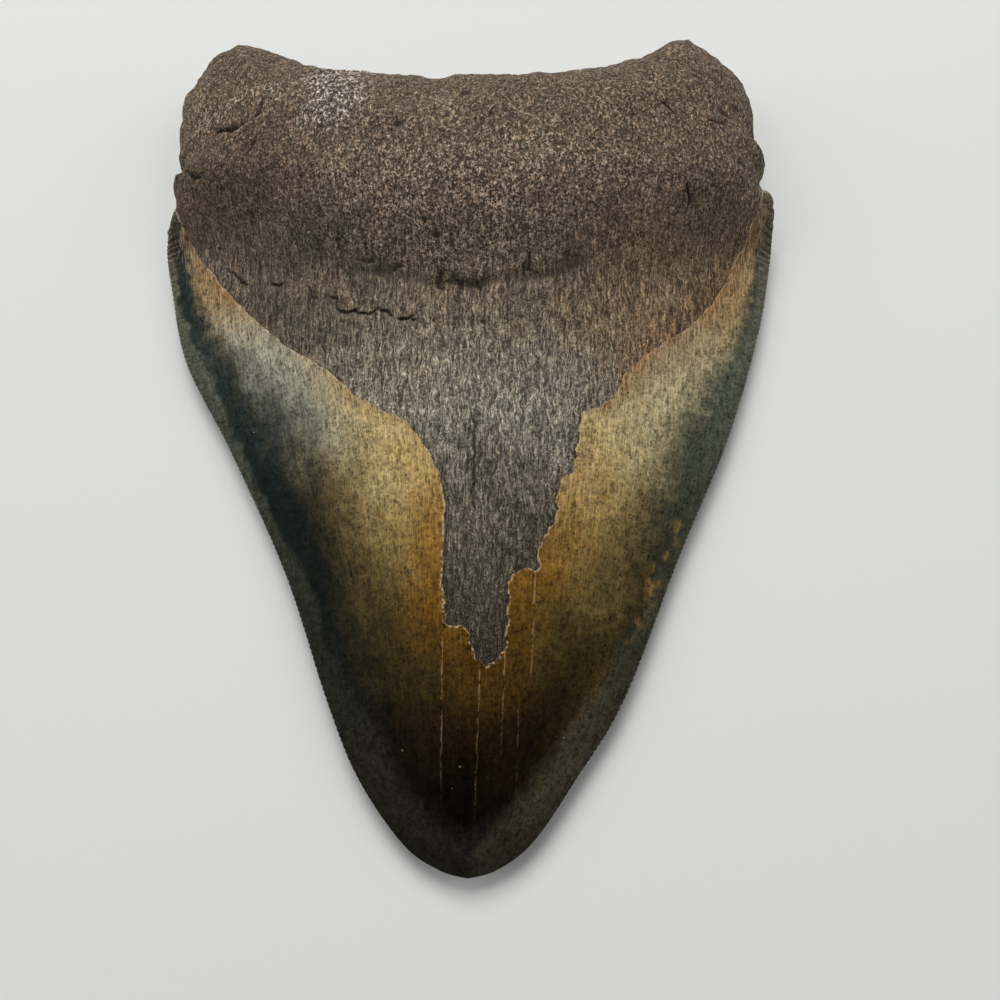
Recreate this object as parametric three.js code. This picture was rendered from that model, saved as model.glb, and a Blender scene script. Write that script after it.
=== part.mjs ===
// A fossil megalodon tooth, lying on its flatter, lip-side face.
//
// It is one closed body. A domed tongue-side face on top and a nearly flat lip-side face below
// share one rim: two thin cutting edges that meet at the tip, and the thick rounded rim of the
// two-lobed root. Both faces are heights over one grid, which is fitted to the rim.
//
// Millimetres. While it is shaped, x runs across the tooth, y runs from the tip to the root and
// z runs up from the surface that the tooth lies on. At the end y is shifted, so that the origin
// is the middle of the base of the bounding box.

import * as THREE from 'three';

// ---- Rim of the tooth, from the tip to the root, as hand-placed points of smooth curves ----

const LEFT_CUTTING_EDGE = [
  [0, 0], [-4.2, 1.1], [-9.6, 4.6], [-16.6, 13.5], [-22, 24.5], [-30.4, 45], [-41.5, 66],
  [-51.3, 83], [-55.9, 98], [-57.7, 105], [-58.1, 108], [-58.2, 110], [-57.7, 111.2],
  [-56.9, 112.8], [-56.6, 114.2],
];
const RIGHT_CUTTING_EDGE = [
  [0, 0], [4.2, 1.1], [9.5, 4.8], [16, 13.3], [24, 25.2], [34, 47.5], [44, 68.5],
  [51.4, 89], [54.9, 103], [55.9, 108], [56.1, 110.1], [55.9, 111.5], [55.5, 113],
  [54.8, 114.4], [53.9, 115.9], [53.5, 116.8],
];
const LEFT_ROOT_SIDE = [
  [-56.6, 114.2], [-56.7, 116], [-56.8, 117.6], [-56.6, 119.2], [-56, 120.8], [-56, 122.2],
  [-56.4, 124.4], [-56.6, 128], [-56.7, 134.5], [-56.3, 138.4],
  [-54.3, 141.6], [-52.4, 145.2], [-49.4, 147.8],
];
const RIGHT_ROOT_SIDE = [
  [53.5, 116.8], [53.6, 118.4], [54.4, 119.9], [55, 121.2], [54.7, 123.2], [54.5, 125.1],
  [54.2, 125.9], [53.3, 126.6], [53.6, 128.5], [54, 133.4], [53.7, 136.8], [52.8, 139.4],
  [50.9, 141.8], [49.4, 143.2], [47.4, 145.2], [45.2, 146.2],
];
const BASAL_MARGIN = [
  [-49.4, 147.8], [-45.2, 149], [-41, 148], [-38, 146.6], [-33, 144.1], [-26, 141.1],
  [-12, 138.2], [2, 137.8], [16, 139.2], [27, 143.2], [32.6, 146.8], [36, 149], [38.6, 149.6],
  [41, 149.4], [43.2, 149], [44.2, 147.4], [45.2, 146.2],
];

// ---- Heights above the surface that the tooth lies on ----

const BLADE_RIM_HEIGHT = 3.4;
const ROOT_RIM_HEIGHT = 6.5;
const SHOULDER_START = 110;
const SHOULDER_END = 121;
const CROWN_RIDGE = [
  [0, 3.4], [8, 6.4], [20, 9.6], [40, 13.2], [60, 15.8], [80, 17.6], [96, 18.6], [160, 18.6],
];
const CROWN_DOME_POWER = 1.4;
const FLANGE_WIDTH_AT_TIP = 8;
const FLANGE_WIDTH_AT_SHOULDER = 4;
const FLANGE_RISE = 1.1;
const ROOT_CREST_HEIGHT = 26.5;
const ROOT_LOBE_HEIGHT = 15;
const ROOT_CREST_HALF_WIDTH = 58;
const ROOT_CREST_POWER = 1.3;
const ROOT_FOOT_MIDDLE = 89;
const ROOT_FOOT_SIDE = 108;
const ROOT_RISE_MIDDLE = 20;
const ROOT_RISE_SIDE = 13;
const ROOT_ROLL_TOP_MIDDLE = 24;
const ROOT_ROLL_TOP_SIDE = 11;
const ROOT_ROLL_BASE = 9;
const FLAT_SHARE_OF_LIP_FACE = 0.35;
const LIP_TIP_LIFT_LENGTH = 14;
const LIP_HOLLOW_DEPTH = 1.2;
const LIP_HOLLOW_CENTRE = 112;
const LIP_HOLLOW_HALF_LENGTH = 17;
const LIP_HOLLOW_HALF_WIDTH = 30;

// ---- Grid that carries the two faces ----

const COLUMNS = 40;
const BLADE_ROWS = 34;
const ROOT_SIDE_ROWS = 14;
const ROWS = BLADE_ROWS + ROOT_SIDE_ROWS;
const TIP_ARC = 5;
const CURVE_SAMPLES = 240;
const SMALLEST_HALF_WIDTH = 0.01;

const ENAMEL_OLIVE = 0x6b6850;

/** The smooth curve through a list of [a, b] points. */
function curveThrough(points) {
  return new THREE.SplineCurve(points.map(([a, b]) => new THREE.Vector2(a, b)));
}

/** Smooth step from 0 at low to 1 at high. */
function easeBetween(low, high, value) {
  return THREE.MathUtils.smoothstep(value, low, high);
}

/** Looks up b at a along samples of a curve whose a value only grows. */
function lookUp(samples, a) {
  let index = 1;
  while (index < samples.length - 1 && samples[index].x < a) {
    index += 1;
  }
  const before = samples[index - 1];
  const after = samples[index];
  const share = THREE.MathUtils.clamp((a - before.x) / (after.x - before.x), 0, 1);
  return THREE.MathUtils.lerp(before.y, after.y, share);
}

const leftEdge = curveThrough(LEFT_CUTTING_EDGE);
const rightEdge = curveThrough(RIGHT_CUTTING_EDGE);
const leftSide = curveThrough(LEFT_ROOT_SIDE);
const rightSide = curveThrough(RIGHT_ROOT_SIDE);
const basalMargin = curveThrough(BASAL_MARGIN);

const ridgeSamples = curveThrough(CROWN_RIDGE).getSpacedPoints(CURVE_SAMPLES);
const leftReach = reachOfSide(leftEdge, leftSide);
const rightReach = reachOfSide(rightEdge, rightSide);
const rootRim = [
  ...leftSide.getSpacedPoints(CURVE_SAMPLES),
  ...basalMargin.getSpacedPoints(CURVE_SAMPLES),
  ...rightSide.getSpacedPoints(CURVE_SAMPLES).reverse(),
];

/** How far out one side of the rim reaches at each y, as samples whose x is the tooth's y. */
function reachOfSide(edge, side) {
  const line = [...edge.getSpacedPoints(CURVE_SAMPLES), ...side.getSpacedPoints(CURVE_SAMPLES)];
  const swapped = line.map((point) => new THREE.Vector2(point.y, point.x));
  return swapped.sort((a, b) => a.x - b.x);
}

/** Half the width of the tooth at y, and the place across it: -1 and 1 on the rims, 0 midway. */
function acrossTooth(x, y) {
  const left = lookUp(leftReach, y);
  const right = lookUp(rightReach, y);
  const halfWidth = Math.max((right - left) / 2, SMALLEST_HALF_WIDTH);
  const place = THREE.MathUtils.clamp((x - (left + right) / 2) / halfWidth, -1, 1);
  return { halfWidth, place };
}

/** Plan distance from a point to the rim of the root. */
function distanceToRootRim(x, y) {
  let nearest = Infinity;
  for (const point of rootRim) {
    nearest = Math.min(nearest, Math.hypot(x - point.x, y - point.y));
  }
  return nearest;
}

/** Quarter-ellipse that rolls a face over into the rim: 0 on the rim, 1 from the roll width on. */
function rollOver(distance, rollWidth) {
  const inward = 1 - Math.min(distance / rollWidth, 1);
  return Math.sqrt(1 - inward * inward);
}

/** How much a point belongs to the root: 0 on the crown, 1 on the root. */
function rootShare(x, y) {
  const side = Math.min(Math.abs(x) / ROOT_CREST_HALF_WIDTH, 1);
  const foot = THREE.MathUtils.lerp(ROOT_FOOT_MIDDLE, ROOT_FOOT_SIDE, side * side);
  const rise = THREE.MathUtils.lerp(ROOT_RISE_MIDDLE, ROOT_RISE_SIDE, side);
  return easeBetween(foot, foot + rise, y);
}

/** Height of the rim, which climbs at the shoulders from the thin blade to the thick root. */
function rimHeight(y) {
  const climb = easeBetween(SHOULDER_START, SHOULDER_END, y);
  return THREE.MathUtils.lerp(BLADE_RIM_HEIGHT, ROOT_RIM_HEIGHT, climb);
}

/** Rise of the crown above its rim: a thin flange along the cutting edge, then the dome. */
function crownRise(x, y) {
  const { halfWidth, place } = acrossTooth(x, y);
  const peak = lookUp(ridgeSamples, y) - rimHeight(y);
  const flangeShare = Math.min(y / SHOULDER_START, 1);
  const flangeWidth = THREE.MathUtils.lerp(FLANGE_WIDTH_AT_TIP, FLANGE_WIDTH_AT_SHOULDER, flangeShare);
  const flangeEnd = Math.max(1 - flangeWidth / halfWidth, 0);
  const inFlange = Math.min((1 - Math.abs(place)) / (1 - flangeEnd), 1);
  const flange = Math.min(FLANGE_RISE, peak) * inFlange;
  const inDome = Math.min(Math.abs(place) / Math.max(flangeEnd, SMALLEST_HALF_WIDTH), 1);
  const dome = Math.pow(1 - inDome * inDome, CROWN_DOME_POWER);
  return flange + (peak - Math.min(FLANGE_RISE, peak)) * dome;
}

/** Height of the tongue-side face. */
function topHeight(x, y) {
  const rim = rimHeight(y);
  const crown = crownRise(x, y);
  const side = Math.min(Math.abs(x) / ROOT_CREST_HALF_WIDTH, 1);
  const crest = Math.pow(1 - side * side, ROOT_CREST_POWER);
  const rootTop = THREE.MathUtils.lerp(ROOT_LOBE_HEIGHT, ROOT_CREST_HEIGHT, crest) - rim;
  const rollWidth = THREE.MathUtils.lerp(ROOT_ROLL_TOP_MIDDLE, ROOT_ROLL_TOP_SIDE, side * side);
  const root = rootTop * rollOver(distanceToRootRim(x, y), rollWidth);
  return rim + THREE.MathUtils.lerp(crown, root, rootShare(x, y));
}

/** Height of the lip-side face, flat on the resting surface over most of its area. */
function baseHeight(x, y) {
  const rim = rimHeight(y);
  const across = Math.abs(acrossTooth(x, y).place);
  const beyondFlat = Math.max(0, (across - FLAT_SHARE_OF_LIP_FACE) / (1 - FLAT_SHARE_OF_LIP_FACE));
  const nearTip = Math.max(0, 1 - y / LIP_TIP_LIFT_LENGTH);
  const crown = rim * Math.min(beyondFlat * beyondFlat + nearTip * nearTip, 1);
  const root = rim * (1 - rollOver(distanceToRootRim(x, y), ROOT_ROLL_BASE));
  const along = Math.min(Math.abs(y - LIP_HOLLOW_CENTRE) / LIP_HOLLOW_HALF_LENGTH, 1);
  const side = Math.min(Math.abs(x) / LIP_HOLLOW_HALF_WIDTH, 1);
  const hollow = LIP_HOLLOW_DEPTH * (1 - easeBetween(0, 1, along)) * (1 - easeBetween(0, 1, side));
  return THREE.MathUtils.lerp(crown, root, rootShare(x, y)) + hollow;
}

/** One side of the rim at a row: up the cutting edge, then up the side of the root. */
function rimSideAt(edge, side, row) {
  if (row <= BLADE_ROWS) {
    const start = TIP_ARC / edge.getLength();
    return edge.getPointAt(THREE.MathUtils.lerp(start, 1, row / BLADE_ROWS));
  }
  return side.getPointAt((row - BLADE_ROWS) / ROOT_SIDE_ROWS);
}

/** The short stretch of rim round the tip, from the left edge at 0 to the right edge at 1. */
function rimTipAt(share) {
  const edge = share < 0.5 ? leftEdge : rightEdge;
  return edge.getPointAt((TIP_ARC * Math.abs(2 * share - 1)) / edge.getLength());
}

/** Share of the way across or along, with the grid lines drawn together towards both ends. */
function crowdedShare(index, count) {
  return (1 - Math.cos((Math.PI * index) / count)) / 2;
}

/** Plan point of the grid: a patch stretched between the tip, the two sides and the margin. */
function gridPoint(column, row) {
  const u = crowdedShare(column, COLUMNS);
  const v = row / ROWS;
  const left = rimSideAt(leftEdge, leftSide, row);
  const right = rimSideAt(rightEdge, rightSide, row);
  const low = rimTipAt(u);
  const high = basalMargin.getPointAt(u);
  const blend = (axis) => {
    const sides = THREE.MathUtils.lerp(left[axis], right[axis], u);
    const ends = THREE.MathUtils.lerp(low[axis], high[axis], v);
    const tipCorners = THREE.MathUtils.lerp(rimTipAt(0)[axis], rimTipAt(1)[axis], u);
    const marginStart = basalMargin.getPointAt(0)[axis];
    const marginEnd = basalMargin.getPointAt(1)[axis];
    const marginCorners = THREE.MathUtils.lerp(marginStart, marginEnd, u);
    return sides + ends - THREE.MathUtils.lerp(tipCorners, marginCorners, v);
  };
  return new THREE.Vector2(blend('x'), blend('y'));
}

/** The whole tooth as one closed surface. */
function toothGeometry() {
  const positions = [];
  const triangles = [];
  const topIndex = [];
  const baseIndex = [];
  for (let row = 0; row <= ROWS; row += 1) {
    topIndex.push([]);
    baseIndex.push([]);
    for (let column = 0; column <= COLUMNS; column += 1) {
      const { x, y } = gridPoint(column, row);
      const onRim = row === 0 || row === ROWS || column === 0 || column === COLUMNS;
      topIndex[row].push(positions.length / 3);
      positions.push(x, y, onRim ? rimHeight(y) : topHeight(x, y));
      if (!onRim) {
        baseIndex[row].push(positions.length / 3);
        positions.push(x, y, baseHeight(x, y));
      } else {
        baseIndex[row].push(topIndex[row][column]);
      }
    }
  }
  for (let row = 0; row < ROWS; row += 1) {
    for (let column = 0; column < COLUMNS; column += 1) {
      addQuad(triangles, topIndex, column, row, true);
      addQuad(triangles, baseIndex, column, row, false);
    }
  }
  const geometry = new THREE.BufferGeometry();
  geometry.setAttribute('position', new THREE.Float32BufferAttribute(positions, 3));
  geometry.setIndex(triangles);
  return geometry;
}

/**
 * Adds one grid cell as two triangles that face up on the top and down on the base. Each cell is
 * split along the diagonal that points to the middle of the grid, so that no corner cell of the
 * two faces has a triangle with all its points on the rim.
 */
function addQuad(triangles, index, column, row, facingUp) {
  const a = index[row][column];
  const b = index[row][column + 1];
  const c = index[row + 1][column + 1];
  const d = index[row + 1][column];
  const risingSplit = column < COLUMNS / 2 === row < ROWS / 2;
  const halves = risingSplit ? [[a, b, c], [a, c, d]] : [[a, b, d], [b, c, d]];
  for (const half of halves) {
    triangles.push(...(facingUp ? half : half.reverse()));
  }
}

const geometry = toothGeometry();
geometry.computeBoundingBox();
const middle = geometry.boundingBox.getCenter(new THREE.Vector3());
geometry.translate(-middle.x, -middle.y, 0);
geometry.computeVertexNormals();

const material = new THREE.MeshStandardMaterial({ color: ENAMEL_OLIVE, roughness: 0.45, metalness: 0 });
const tooth = new THREE.Mesh(geometry, material);
tooth.name = 'tooth';

const group = new THREE.Group();
group.add(tooth);

export default group;
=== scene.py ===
"""Looks of a fossil megalodon tooth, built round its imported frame.

The tooth lies on its flatter, lip-side face with the domed tongue-side face up. Its skin is one
closed mesh: a serrated rim shared by the two faces, an enamel cap that stands proud of the
exposed dentine along a broken border, and a rough, swollen root. Sizes inside the classes are
millimetres, measured from the tip of the tooth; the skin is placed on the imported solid's box.
"""

import logging
import math
from dataclasses import dataclass, field
from enum import Enum
from typing import Callable, Sequence, Union

import bpy
import numpy as np
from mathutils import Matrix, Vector
from mathutils.geometry import delaunay_2d_cdt
from mathutils.kdtree import KDTree


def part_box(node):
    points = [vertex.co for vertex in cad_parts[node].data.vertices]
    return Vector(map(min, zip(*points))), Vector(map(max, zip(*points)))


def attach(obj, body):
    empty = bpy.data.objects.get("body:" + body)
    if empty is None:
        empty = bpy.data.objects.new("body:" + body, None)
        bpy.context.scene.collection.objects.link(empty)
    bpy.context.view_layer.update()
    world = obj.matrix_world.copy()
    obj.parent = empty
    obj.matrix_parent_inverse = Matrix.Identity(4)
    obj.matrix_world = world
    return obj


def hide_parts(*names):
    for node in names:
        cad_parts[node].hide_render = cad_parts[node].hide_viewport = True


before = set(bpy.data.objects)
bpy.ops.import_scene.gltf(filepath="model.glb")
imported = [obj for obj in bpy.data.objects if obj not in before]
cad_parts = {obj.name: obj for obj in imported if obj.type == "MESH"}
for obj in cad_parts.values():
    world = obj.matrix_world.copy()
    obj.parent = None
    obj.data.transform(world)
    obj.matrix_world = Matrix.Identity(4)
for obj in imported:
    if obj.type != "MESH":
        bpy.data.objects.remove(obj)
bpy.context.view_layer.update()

logging.basicConfig(level=logging.INFO, format="%(message)s")
log = logging.getLogger("megalodon tooth")

MM = 0.001
NODE = "tooth"
TIP_X = 1.0

Point = tuple[float, float]
Colour = tuple[int, int, int]
Socket = bpy.types.NodeSocket
Value = Union[Socket, float]


class Face(Enum):
    """The two broad faces of the tooth."""

    TONGUE = 1
    LIP = -1


class Finish(Enum):
    """Which finish a stretch of skin takes; the value is its material index."""

    ENAMEL = 0
    BONE = 1
    BREAK = 2


# ---------------------------------------------------------------------------------------------
# Plane geometry and repeatable roughness
# ---------------------------------------------------------------------------------------------


def ease(low: float, high: float, value: np.ndarray) -> np.ndarray:
    """Smooth step.

    Args:
        low: Value at which the step starts.
        high: Value at which the step ends.
        value: Values to step.

    Returns:
        0 at low and below, 1 at high and above.
    """
    share = np.clip((value - low) / (high - low), 0.0, 1.0)
    return share * share * (3.0 - 2.0 * share)


def blend(first: Union[float, np.ndarray], second: Union[float, np.ndarray], share: np.ndarray) -> np.ndarray:
    """Straight blend from first, at share 0, to second, at share 1."""
    return first + (second - first) * share


def length_along(line: np.ndarray) -> np.ndarray:
    """Length of a line from its start to each of its points."""
    return np.r_[0.0, np.cumsum(np.hypot(*np.diff(line, axis=0).T))]


def evenly(line: np.ndarray, spacing: float) -> np.ndarray:
    """Points at an even spacing along a line.

    Args:
        line: Rows of x, y.
        spacing: Wanted distance between neighbours.

    Returns:
        Rows of x, y with the same ends.
    """
    along = length_along(line)
    count = max(int(round(along[-1] / spacing)), 1) + 1
    places = np.linspace(0.0, along[-1], count)
    return np.stack([np.interp(places, along, line[:, axis]) for axis in (0, 1)], axis=1)


def smooth_curve(points: Sequence[Point], spacing: float) -> np.ndarray:
    """A smooth curve through given points.

    Args:
        points: The points that the curve runs through.
        spacing: Distance between the points of the result.

    Returns:
        Rows of x, y along the curve.
    """
    knots = np.array(points, dtype=float)
    last = len(knots) - 1
    steps = np.linspace(0.0, last, 60 * last + 1)
    index = np.minimum(steps.astype(int), last - 1)
    share = (steps - index)[:, None]
    before, start = knots[np.maximum(index - 1, 0)], knots[index]
    end, after = knots[index + 1], knots[np.minimum(index + 2, last)]
    leave, arrive = (end - before) / 2.0, (after - start) / 2.0
    cubic = (2.0 * start - 2.0 * end + leave + arrive) * share**3
    square = (3.0 * end - 3.0 * start - 2.0 * leave - arrive) * share**2
    return evenly(cubic + square + leave * share + start, spacing)


def nearest_on_line(points: np.ndarray, line: np.ndarray) -> tuple[np.ndarray, np.ndarray]:
    """The nearest place on a line to each point.

    Args:
        points: Rows of x, y.
        line: Rows of x, y of the line.

    Returns:
        The distances, and the places as row numbers of the line with a fraction.
    """
    nearest = np.full(len(points), np.inf)
    places = np.zeros(len(points))
    x, y = points[:, 0], points[:, 1]
    for row, ((ax, ay), (bx, by)) in enumerate(zip(line[:-1], line[1:])):
        dx, dy = bx - ax, by - ay
        share = np.clip(((x - ax) * dx + (y - ay) * dy) / (dx * dx + dy * dy + 1e-12), 0.0, 1.0)
        square = (x - ax - share * dx) ** 2 + (y - ay - share * dy) ** 2
        closer = square < nearest
        nearest = np.where(closer, square, nearest)
        places = np.where(closer, row + share, places)
    return np.sqrt(nearest), places


def distance_to_line(points: np.ndarray, line: np.ndarray) -> np.ndarray:
    """Plan distance from each point to a line."""
    return nearest_on_line(points, line)[0]


def inside_loop(points: np.ndarray, loop: np.ndarray) -> np.ndarray:
    """Whether each point lies inside a closed loop.

    Args:
        points: Rows of x, y.
        loop: Rows of x, y; the last point joins the first.

    Returns:
        One truth value per point.
    """
    x, y = points[:, 0], points[:, 1]
    inside = np.zeros(len(points), dtype=bool)
    for (ax, ay), (bx, by) in zip(loop, np.roll(loop, -1, axis=0)):
        if ay == by:
            continue
        crosses = (ay > y) != (by > y)
        inside ^= crosses & (x < (bx - ax) * (y - ay) / (by - ay) + ax)
    return inside


def right_hand(line: np.ndarray) -> np.ndarray:
    """Unit normals on the right-hand side of travel along a line."""
    along = np.gradient(line, axis=0)
    along /= np.hypot(along[:, 0], along[:, 1])[:, None] + 1e-12
    return np.stack([along[:, 1], -along[:, 0]], axis=1)


class Roughness:
    """Smooth, repeatable random bumps in space."""

    SIZE = 64

    def __init__(self, seed: int) -> None:
        """Fills the lattice of random levels from a seed."""
        self.levels = np.random.default_rng(seed).uniform(-1.0, 1.0, (self.SIZE,) * 3)

    def at(self, points: np.ndarray, cell: Sequence[float]) -> np.ndarray:
        """Bump level at each point.

        Args:
            points: Rows of x, y, z.
            cell: Size of one bump along each axis.

        Returns:
            Levels from -1 to 1.
        """
        scaled = points / np.array(cell, dtype=float)
        corner = np.floor(scaled).astype(int)
        share = scaled - corner
        share = share * share * (3.0 - 2.0 * share)
        total = np.zeros(len(points))
        for dx in (0, 1):
            for dy in (0, 1):
                for dz in (0, 1):
                    where = (corner + (dx, dy, dz)) % self.SIZE
                    weight = np.abs(1 - dx - share[:, 0])
                    weight = weight * np.abs(1 - dy - share[:, 1]) * np.abs(1 - dz - share[:, 2])
                    total += weight * self.levels[where[:, 0], where[:, 1], where[:, 2]]
        return total

    def layered(self, points: np.ndarray, cell: Sequence[float], layers: int) -> np.ndarray:
        """Bumps with finer bumps on them, each layer half the size and height of the last.

        Args:
            points: Rows of x, y, z.
            cell: Size of the largest bumps along each axis.
            layers: How many layers there are.

        Returns:
            Levels from about -1 to 1.
        """
        total = np.zeros(len(points))
        for layer in range(layers):
            size = np.array(cell, dtype=float) / 2**layer
            total += self.at(points + 17.3 * layer, size) / 2**layer
        return total / 1.6


def flat_points(points: np.ndarray) -> np.ndarray:
    """Plan points as points in space at height 0."""
    return np.column_stack([points, np.zeros(len(points))])


# ---------------------------------------------------------------------------------------------
# Shape of the tooth
# ---------------------------------------------------------------------------------------------


@dataclass
class ToothForm:
    """Overall shape: the rim in plan, and the heights of the two faces over it."""

    left_cutting_edge: Sequence[Point] = (
        (0, 0), (-4.2, 1.1), (-9.6, 4.6), (-16.6, 13.5), (-22, 24.5), (-30.4, 45), (-41.5, 66),
        (-51.3, 83), (-55.9, 98), (-57.7, 105), (-58.1, 108), (-58.2, 110), (-57.7, 111.2),
        (-56.9, 112.8), (-56.6, 114.2),
    )
    right_cutting_edge: Sequence[Point] = (
        (0, 0), (4.2, 1.1), (9.5, 4.8), (16, 13.3), (24, 25.2), (34, 47.5), (44, 68.5),
        (51.4, 89), (54.9, 103), (55.9, 108), (56.1, 110.1), (55.9, 111.5), (55.5, 113),
        (54.8, 114.4), (53.9, 115.9), (53.5, 116.8),
    )
    left_root_side: Sequence[Point] = (
        (-56.6, 114.2), (-56.7, 116), (-56.8, 117.6), (-56.6, 119.2), (-56, 120.8), (-56, 122.2),
        (-56.4, 124.4), (-56.6, 128), (-56.7, 134.5), (-56.3, 138.4),
        (-54.3, 141.6), (-52.4, 145.2), (-49.4, 147.8),
    )
    right_root_side: Sequence[Point] = (
        (53.5, 116.8), (53.6, 118.4), (54.4, 119.9), (55, 121.2), (54.7, 123.2), (54.5, 125.1),
        (54.2, 125.9), (53.3, 126.6), (53.6, 128.5), (54, 133.4), (53.7, 136.8), (52.8, 139.4),
        (50.9, 141.8), (49.4, 143.2), (47.4, 145.2), (45.2, 146.2),
    )
    basal_margin: Sequence[Point] = (
        (-49.4, 147.8), (-45.2, 149), (-41, 148), (-38, 146.6), (-33, 144.1), (-26, 141.1),
        (-12, 138.2), (2, 137.8), (16, 139.2), (27, 143.2), (32.6, 146.8), (36, 149),
        (38.6, 149.6), (41, 149.4), (43.2, 149), (44.2, 147.4), (45.2, 146.2),
    )
    crown_ridge: Sequence[Point] = (
        (0, 3.4), (8, 6.4), (20, 9.6), (40, 13.2), (60, 15.8), (80, 17.6), (96, 18.6), (160, 18.6),
    )
    blade_rim_height: float = 3.4
    root_rim_height: float = 6.5
    shoulder_start: float = 110.0
    shoulder_end: float = 121.0
    dome_power: float = 1.4
    flange_width_at_tip: float = 8.0
    flange_width_at_shoulder: float = 4.0
    flange_rise: float = 1.1
    root_crest_height: float = 26.5
    root_lobe_height: float = 15.0
    root_half_width: float = 58.0
    root_crest_power: float = 1.3
    root_foot: tuple[float, float] = (89.0, 108.0)
    root_rise: tuple[float, float] = (20.0, 13.0)
    top_roll: tuple[float, float] = (24.0, 11.0)
    base_roll: float = 9.0
    flat_share: float = 0.35
    tip_lift_length: float = 14.0
    hollow_depth: float = 1.2
    hollow_centre: float = 112.0
    hollow_half_length: float = 17.0
    hollow_half_width: float = 30.0

    def __post_init__(self) -> None:
        """Works out the curves that the heights are measured from."""
        step = 0.25
        self.left_edge = smooth_curve(self.left_cutting_edge, step)
        self.right_edge = smooth_curve(self.right_cutting_edge, step)
        self.left_side = smooth_curve(self.left_root_side, step)
        self.right_side = smooth_curve(self.right_root_side, step)
        self.margin = smooth_curve(self.basal_margin, step)
        self.ridge = smooth_curve(self.crown_ridge, step)
        self.left_reach = self._reach(self.left_edge, self.left_side)
        self.right_reach = self._reach(self.right_edge, self.right_side)
        self.length = float(self.margin[:, 1].max())

    @staticmethod
    def _reach(edge: np.ndarray, side: np.ndarray) -> np.ndarray:
        """How far out one side of the rim reaches: rows of y and x, with y growing."""
        line = np.concatenate([edge, side])
        return line[np.argsort(line[:, 1], kind="stable")][:, ::-1]

    def across(self, points: np.ndarray) -> tuple[np.ndarray, np.ndarray]:
        """Place of each point across the tooth.

        Args:
            points: Rows of x, y.

        Returns:
            Half the width of the tooth there, and the place: -1 and 1 on the rims, 0 midway.
        """
        left = np.interp(points[:, 1], self.left_reach[:, 0], self.left_reach[:, 1])
        right = np.interp(points[:, 1], self.right_reach[:, 0], self.right_reach[:, 1])
        half = np.maximum((right - left) / 2.0, 0.01)
        return half, np.clip((points[:, 0] - (left + right) / 2.0) / half, -1.0, 1.0)

    def rim_height(self, y: np.ndarray) -> np.ndarray:
        """Height of the rim, which climbs at the shoulders from the thin blade to the root."""
        climb = ease(self.shoulder_start, self.shoulder_end, y)
        return blend(self.blade_rim_height, self.root_rim_height, climb)

    def root_share(self, points: np.ndarray) -> np.ndarray:
        """How much each point belongs to the root: 0 on the crown, 1 on the root."""
        side = np.minimum(np.abs(points[:, 0]) / self.root_half_width, 1.0)
        foot = blend(*self.root_foot, side**2)
        return ease(0.0, 1.0, (points[:, 1] - foot) / blend(*self.root_rise, side))

    def roll_width(self, points: np.ndarray) -> np.ndarray:
        """How wide the root's back is where it rolls over into the rim."""
        side = np.minimum(np.abs(points[:, 0]) / self.root_half_width, 1.0)
        return blend(*self.top_roll, side**2)

    @staticmethod
    def roll_over(distance: np.ndarray, width: Union[float, np.ndarray]) -> np.ndarray:
        """Quarter-ellipse from 0 on the rim to 1 a roll's width inside it."""
        inward = 1.0 - np.minimum(distance / width, 1.0)
        return np.sqrt(1.0 - inward**2)

    def crown_rise(self, points: np.ndarray) -> np.ndarray:
        """Rise of the crown above its rim: a thin flange along the cutting edge, then the dome."""
        half, place = self.across(points)
        y = points[:, 1]
        peak = np.interp(y, self.ridge[:, 0], self.ridge[:, 1]) - self.rim_height(y)
        share = np.minimum(y / self.shoulder_start, 1.0)
        width = blend(self.flange_width_at_tip, self.flange_width_at_shoulder, share)
        flange_end = np.maximum(1.0 - width / half, 0.0)
        in_flange = np.minimum((1.0 - np.abs(place)) / (1.0 - flange_end), 1.0)
        in_dome = np.minimum(np.abs(place) / np.maximum(flange_end, 0.01), 1.0)
        flange = np.minimum(self.flange_rise, peak)
        rounded = 1.0 - (1.0 - in_flange) ** 2
        return flange * rounded + (peak - flange) * (1.0 - in_dome**2) ** self.dome_power

    def top_height(self, points: np.ndarray, to_root_rim: np.ndarray) -> np.ndarray:
        """Height of the tongue-side face.

        Args:
            points: Rows of x, y.
            to_root_rim: Plan distance of each point to the rim of the root.

        Returns:
            One height per point.
        """
        rim = self.rim_height(points[:, 1])
        side = np.minimum(np.abs(points[:, 0]) / self.root_half_width, 1.0)
        crest = blend(self.root_lobe_height, self.root_crest_height, (1.0 - side**2) ** self.root_crest_power)
        root = (crest - rim) * self.roll_over(to_root_rim, self.roll_width(points))
        return rim + blend(self.crown_rise(points), root, self.root_share(points))

    def base_height(self, points: np.ndarray, to_root_rim: np.ndarray) -> np.ndarray:
        """Height of the lip-side face, with the same arguments and result as top_height."""
        rim = self.rim_height(points[:, 1])
        across = np.abs(self.across(points)[1])
        beyond = np.maximum(0.0, (across - self.flat_share) / (1.0 - self.flat_share))
        near_tip = np.maximum(0.0, 1.0 - points[:, 1] / self.tip_lift_length)
        crown = rim * np.minimum(beyond**2 + near_tip**2, 1.0)
        root = rim * (1.0 - self.roll_over(to_root_rim, self.base_roll))
        along = np.abs(points[:, 1] - self.hollow_centre) / self.hollow_half_length
        side = np.abs(points[:, 0]) / self.hollow_half_width
        hollow = self.hollow_depth * (1.0 - ease(0.0, 1.0, along)) * (1.0 - ease(0.0, 1.0, side))
        return blend(crown, root, self.root_share(points)) + hollow


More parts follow.
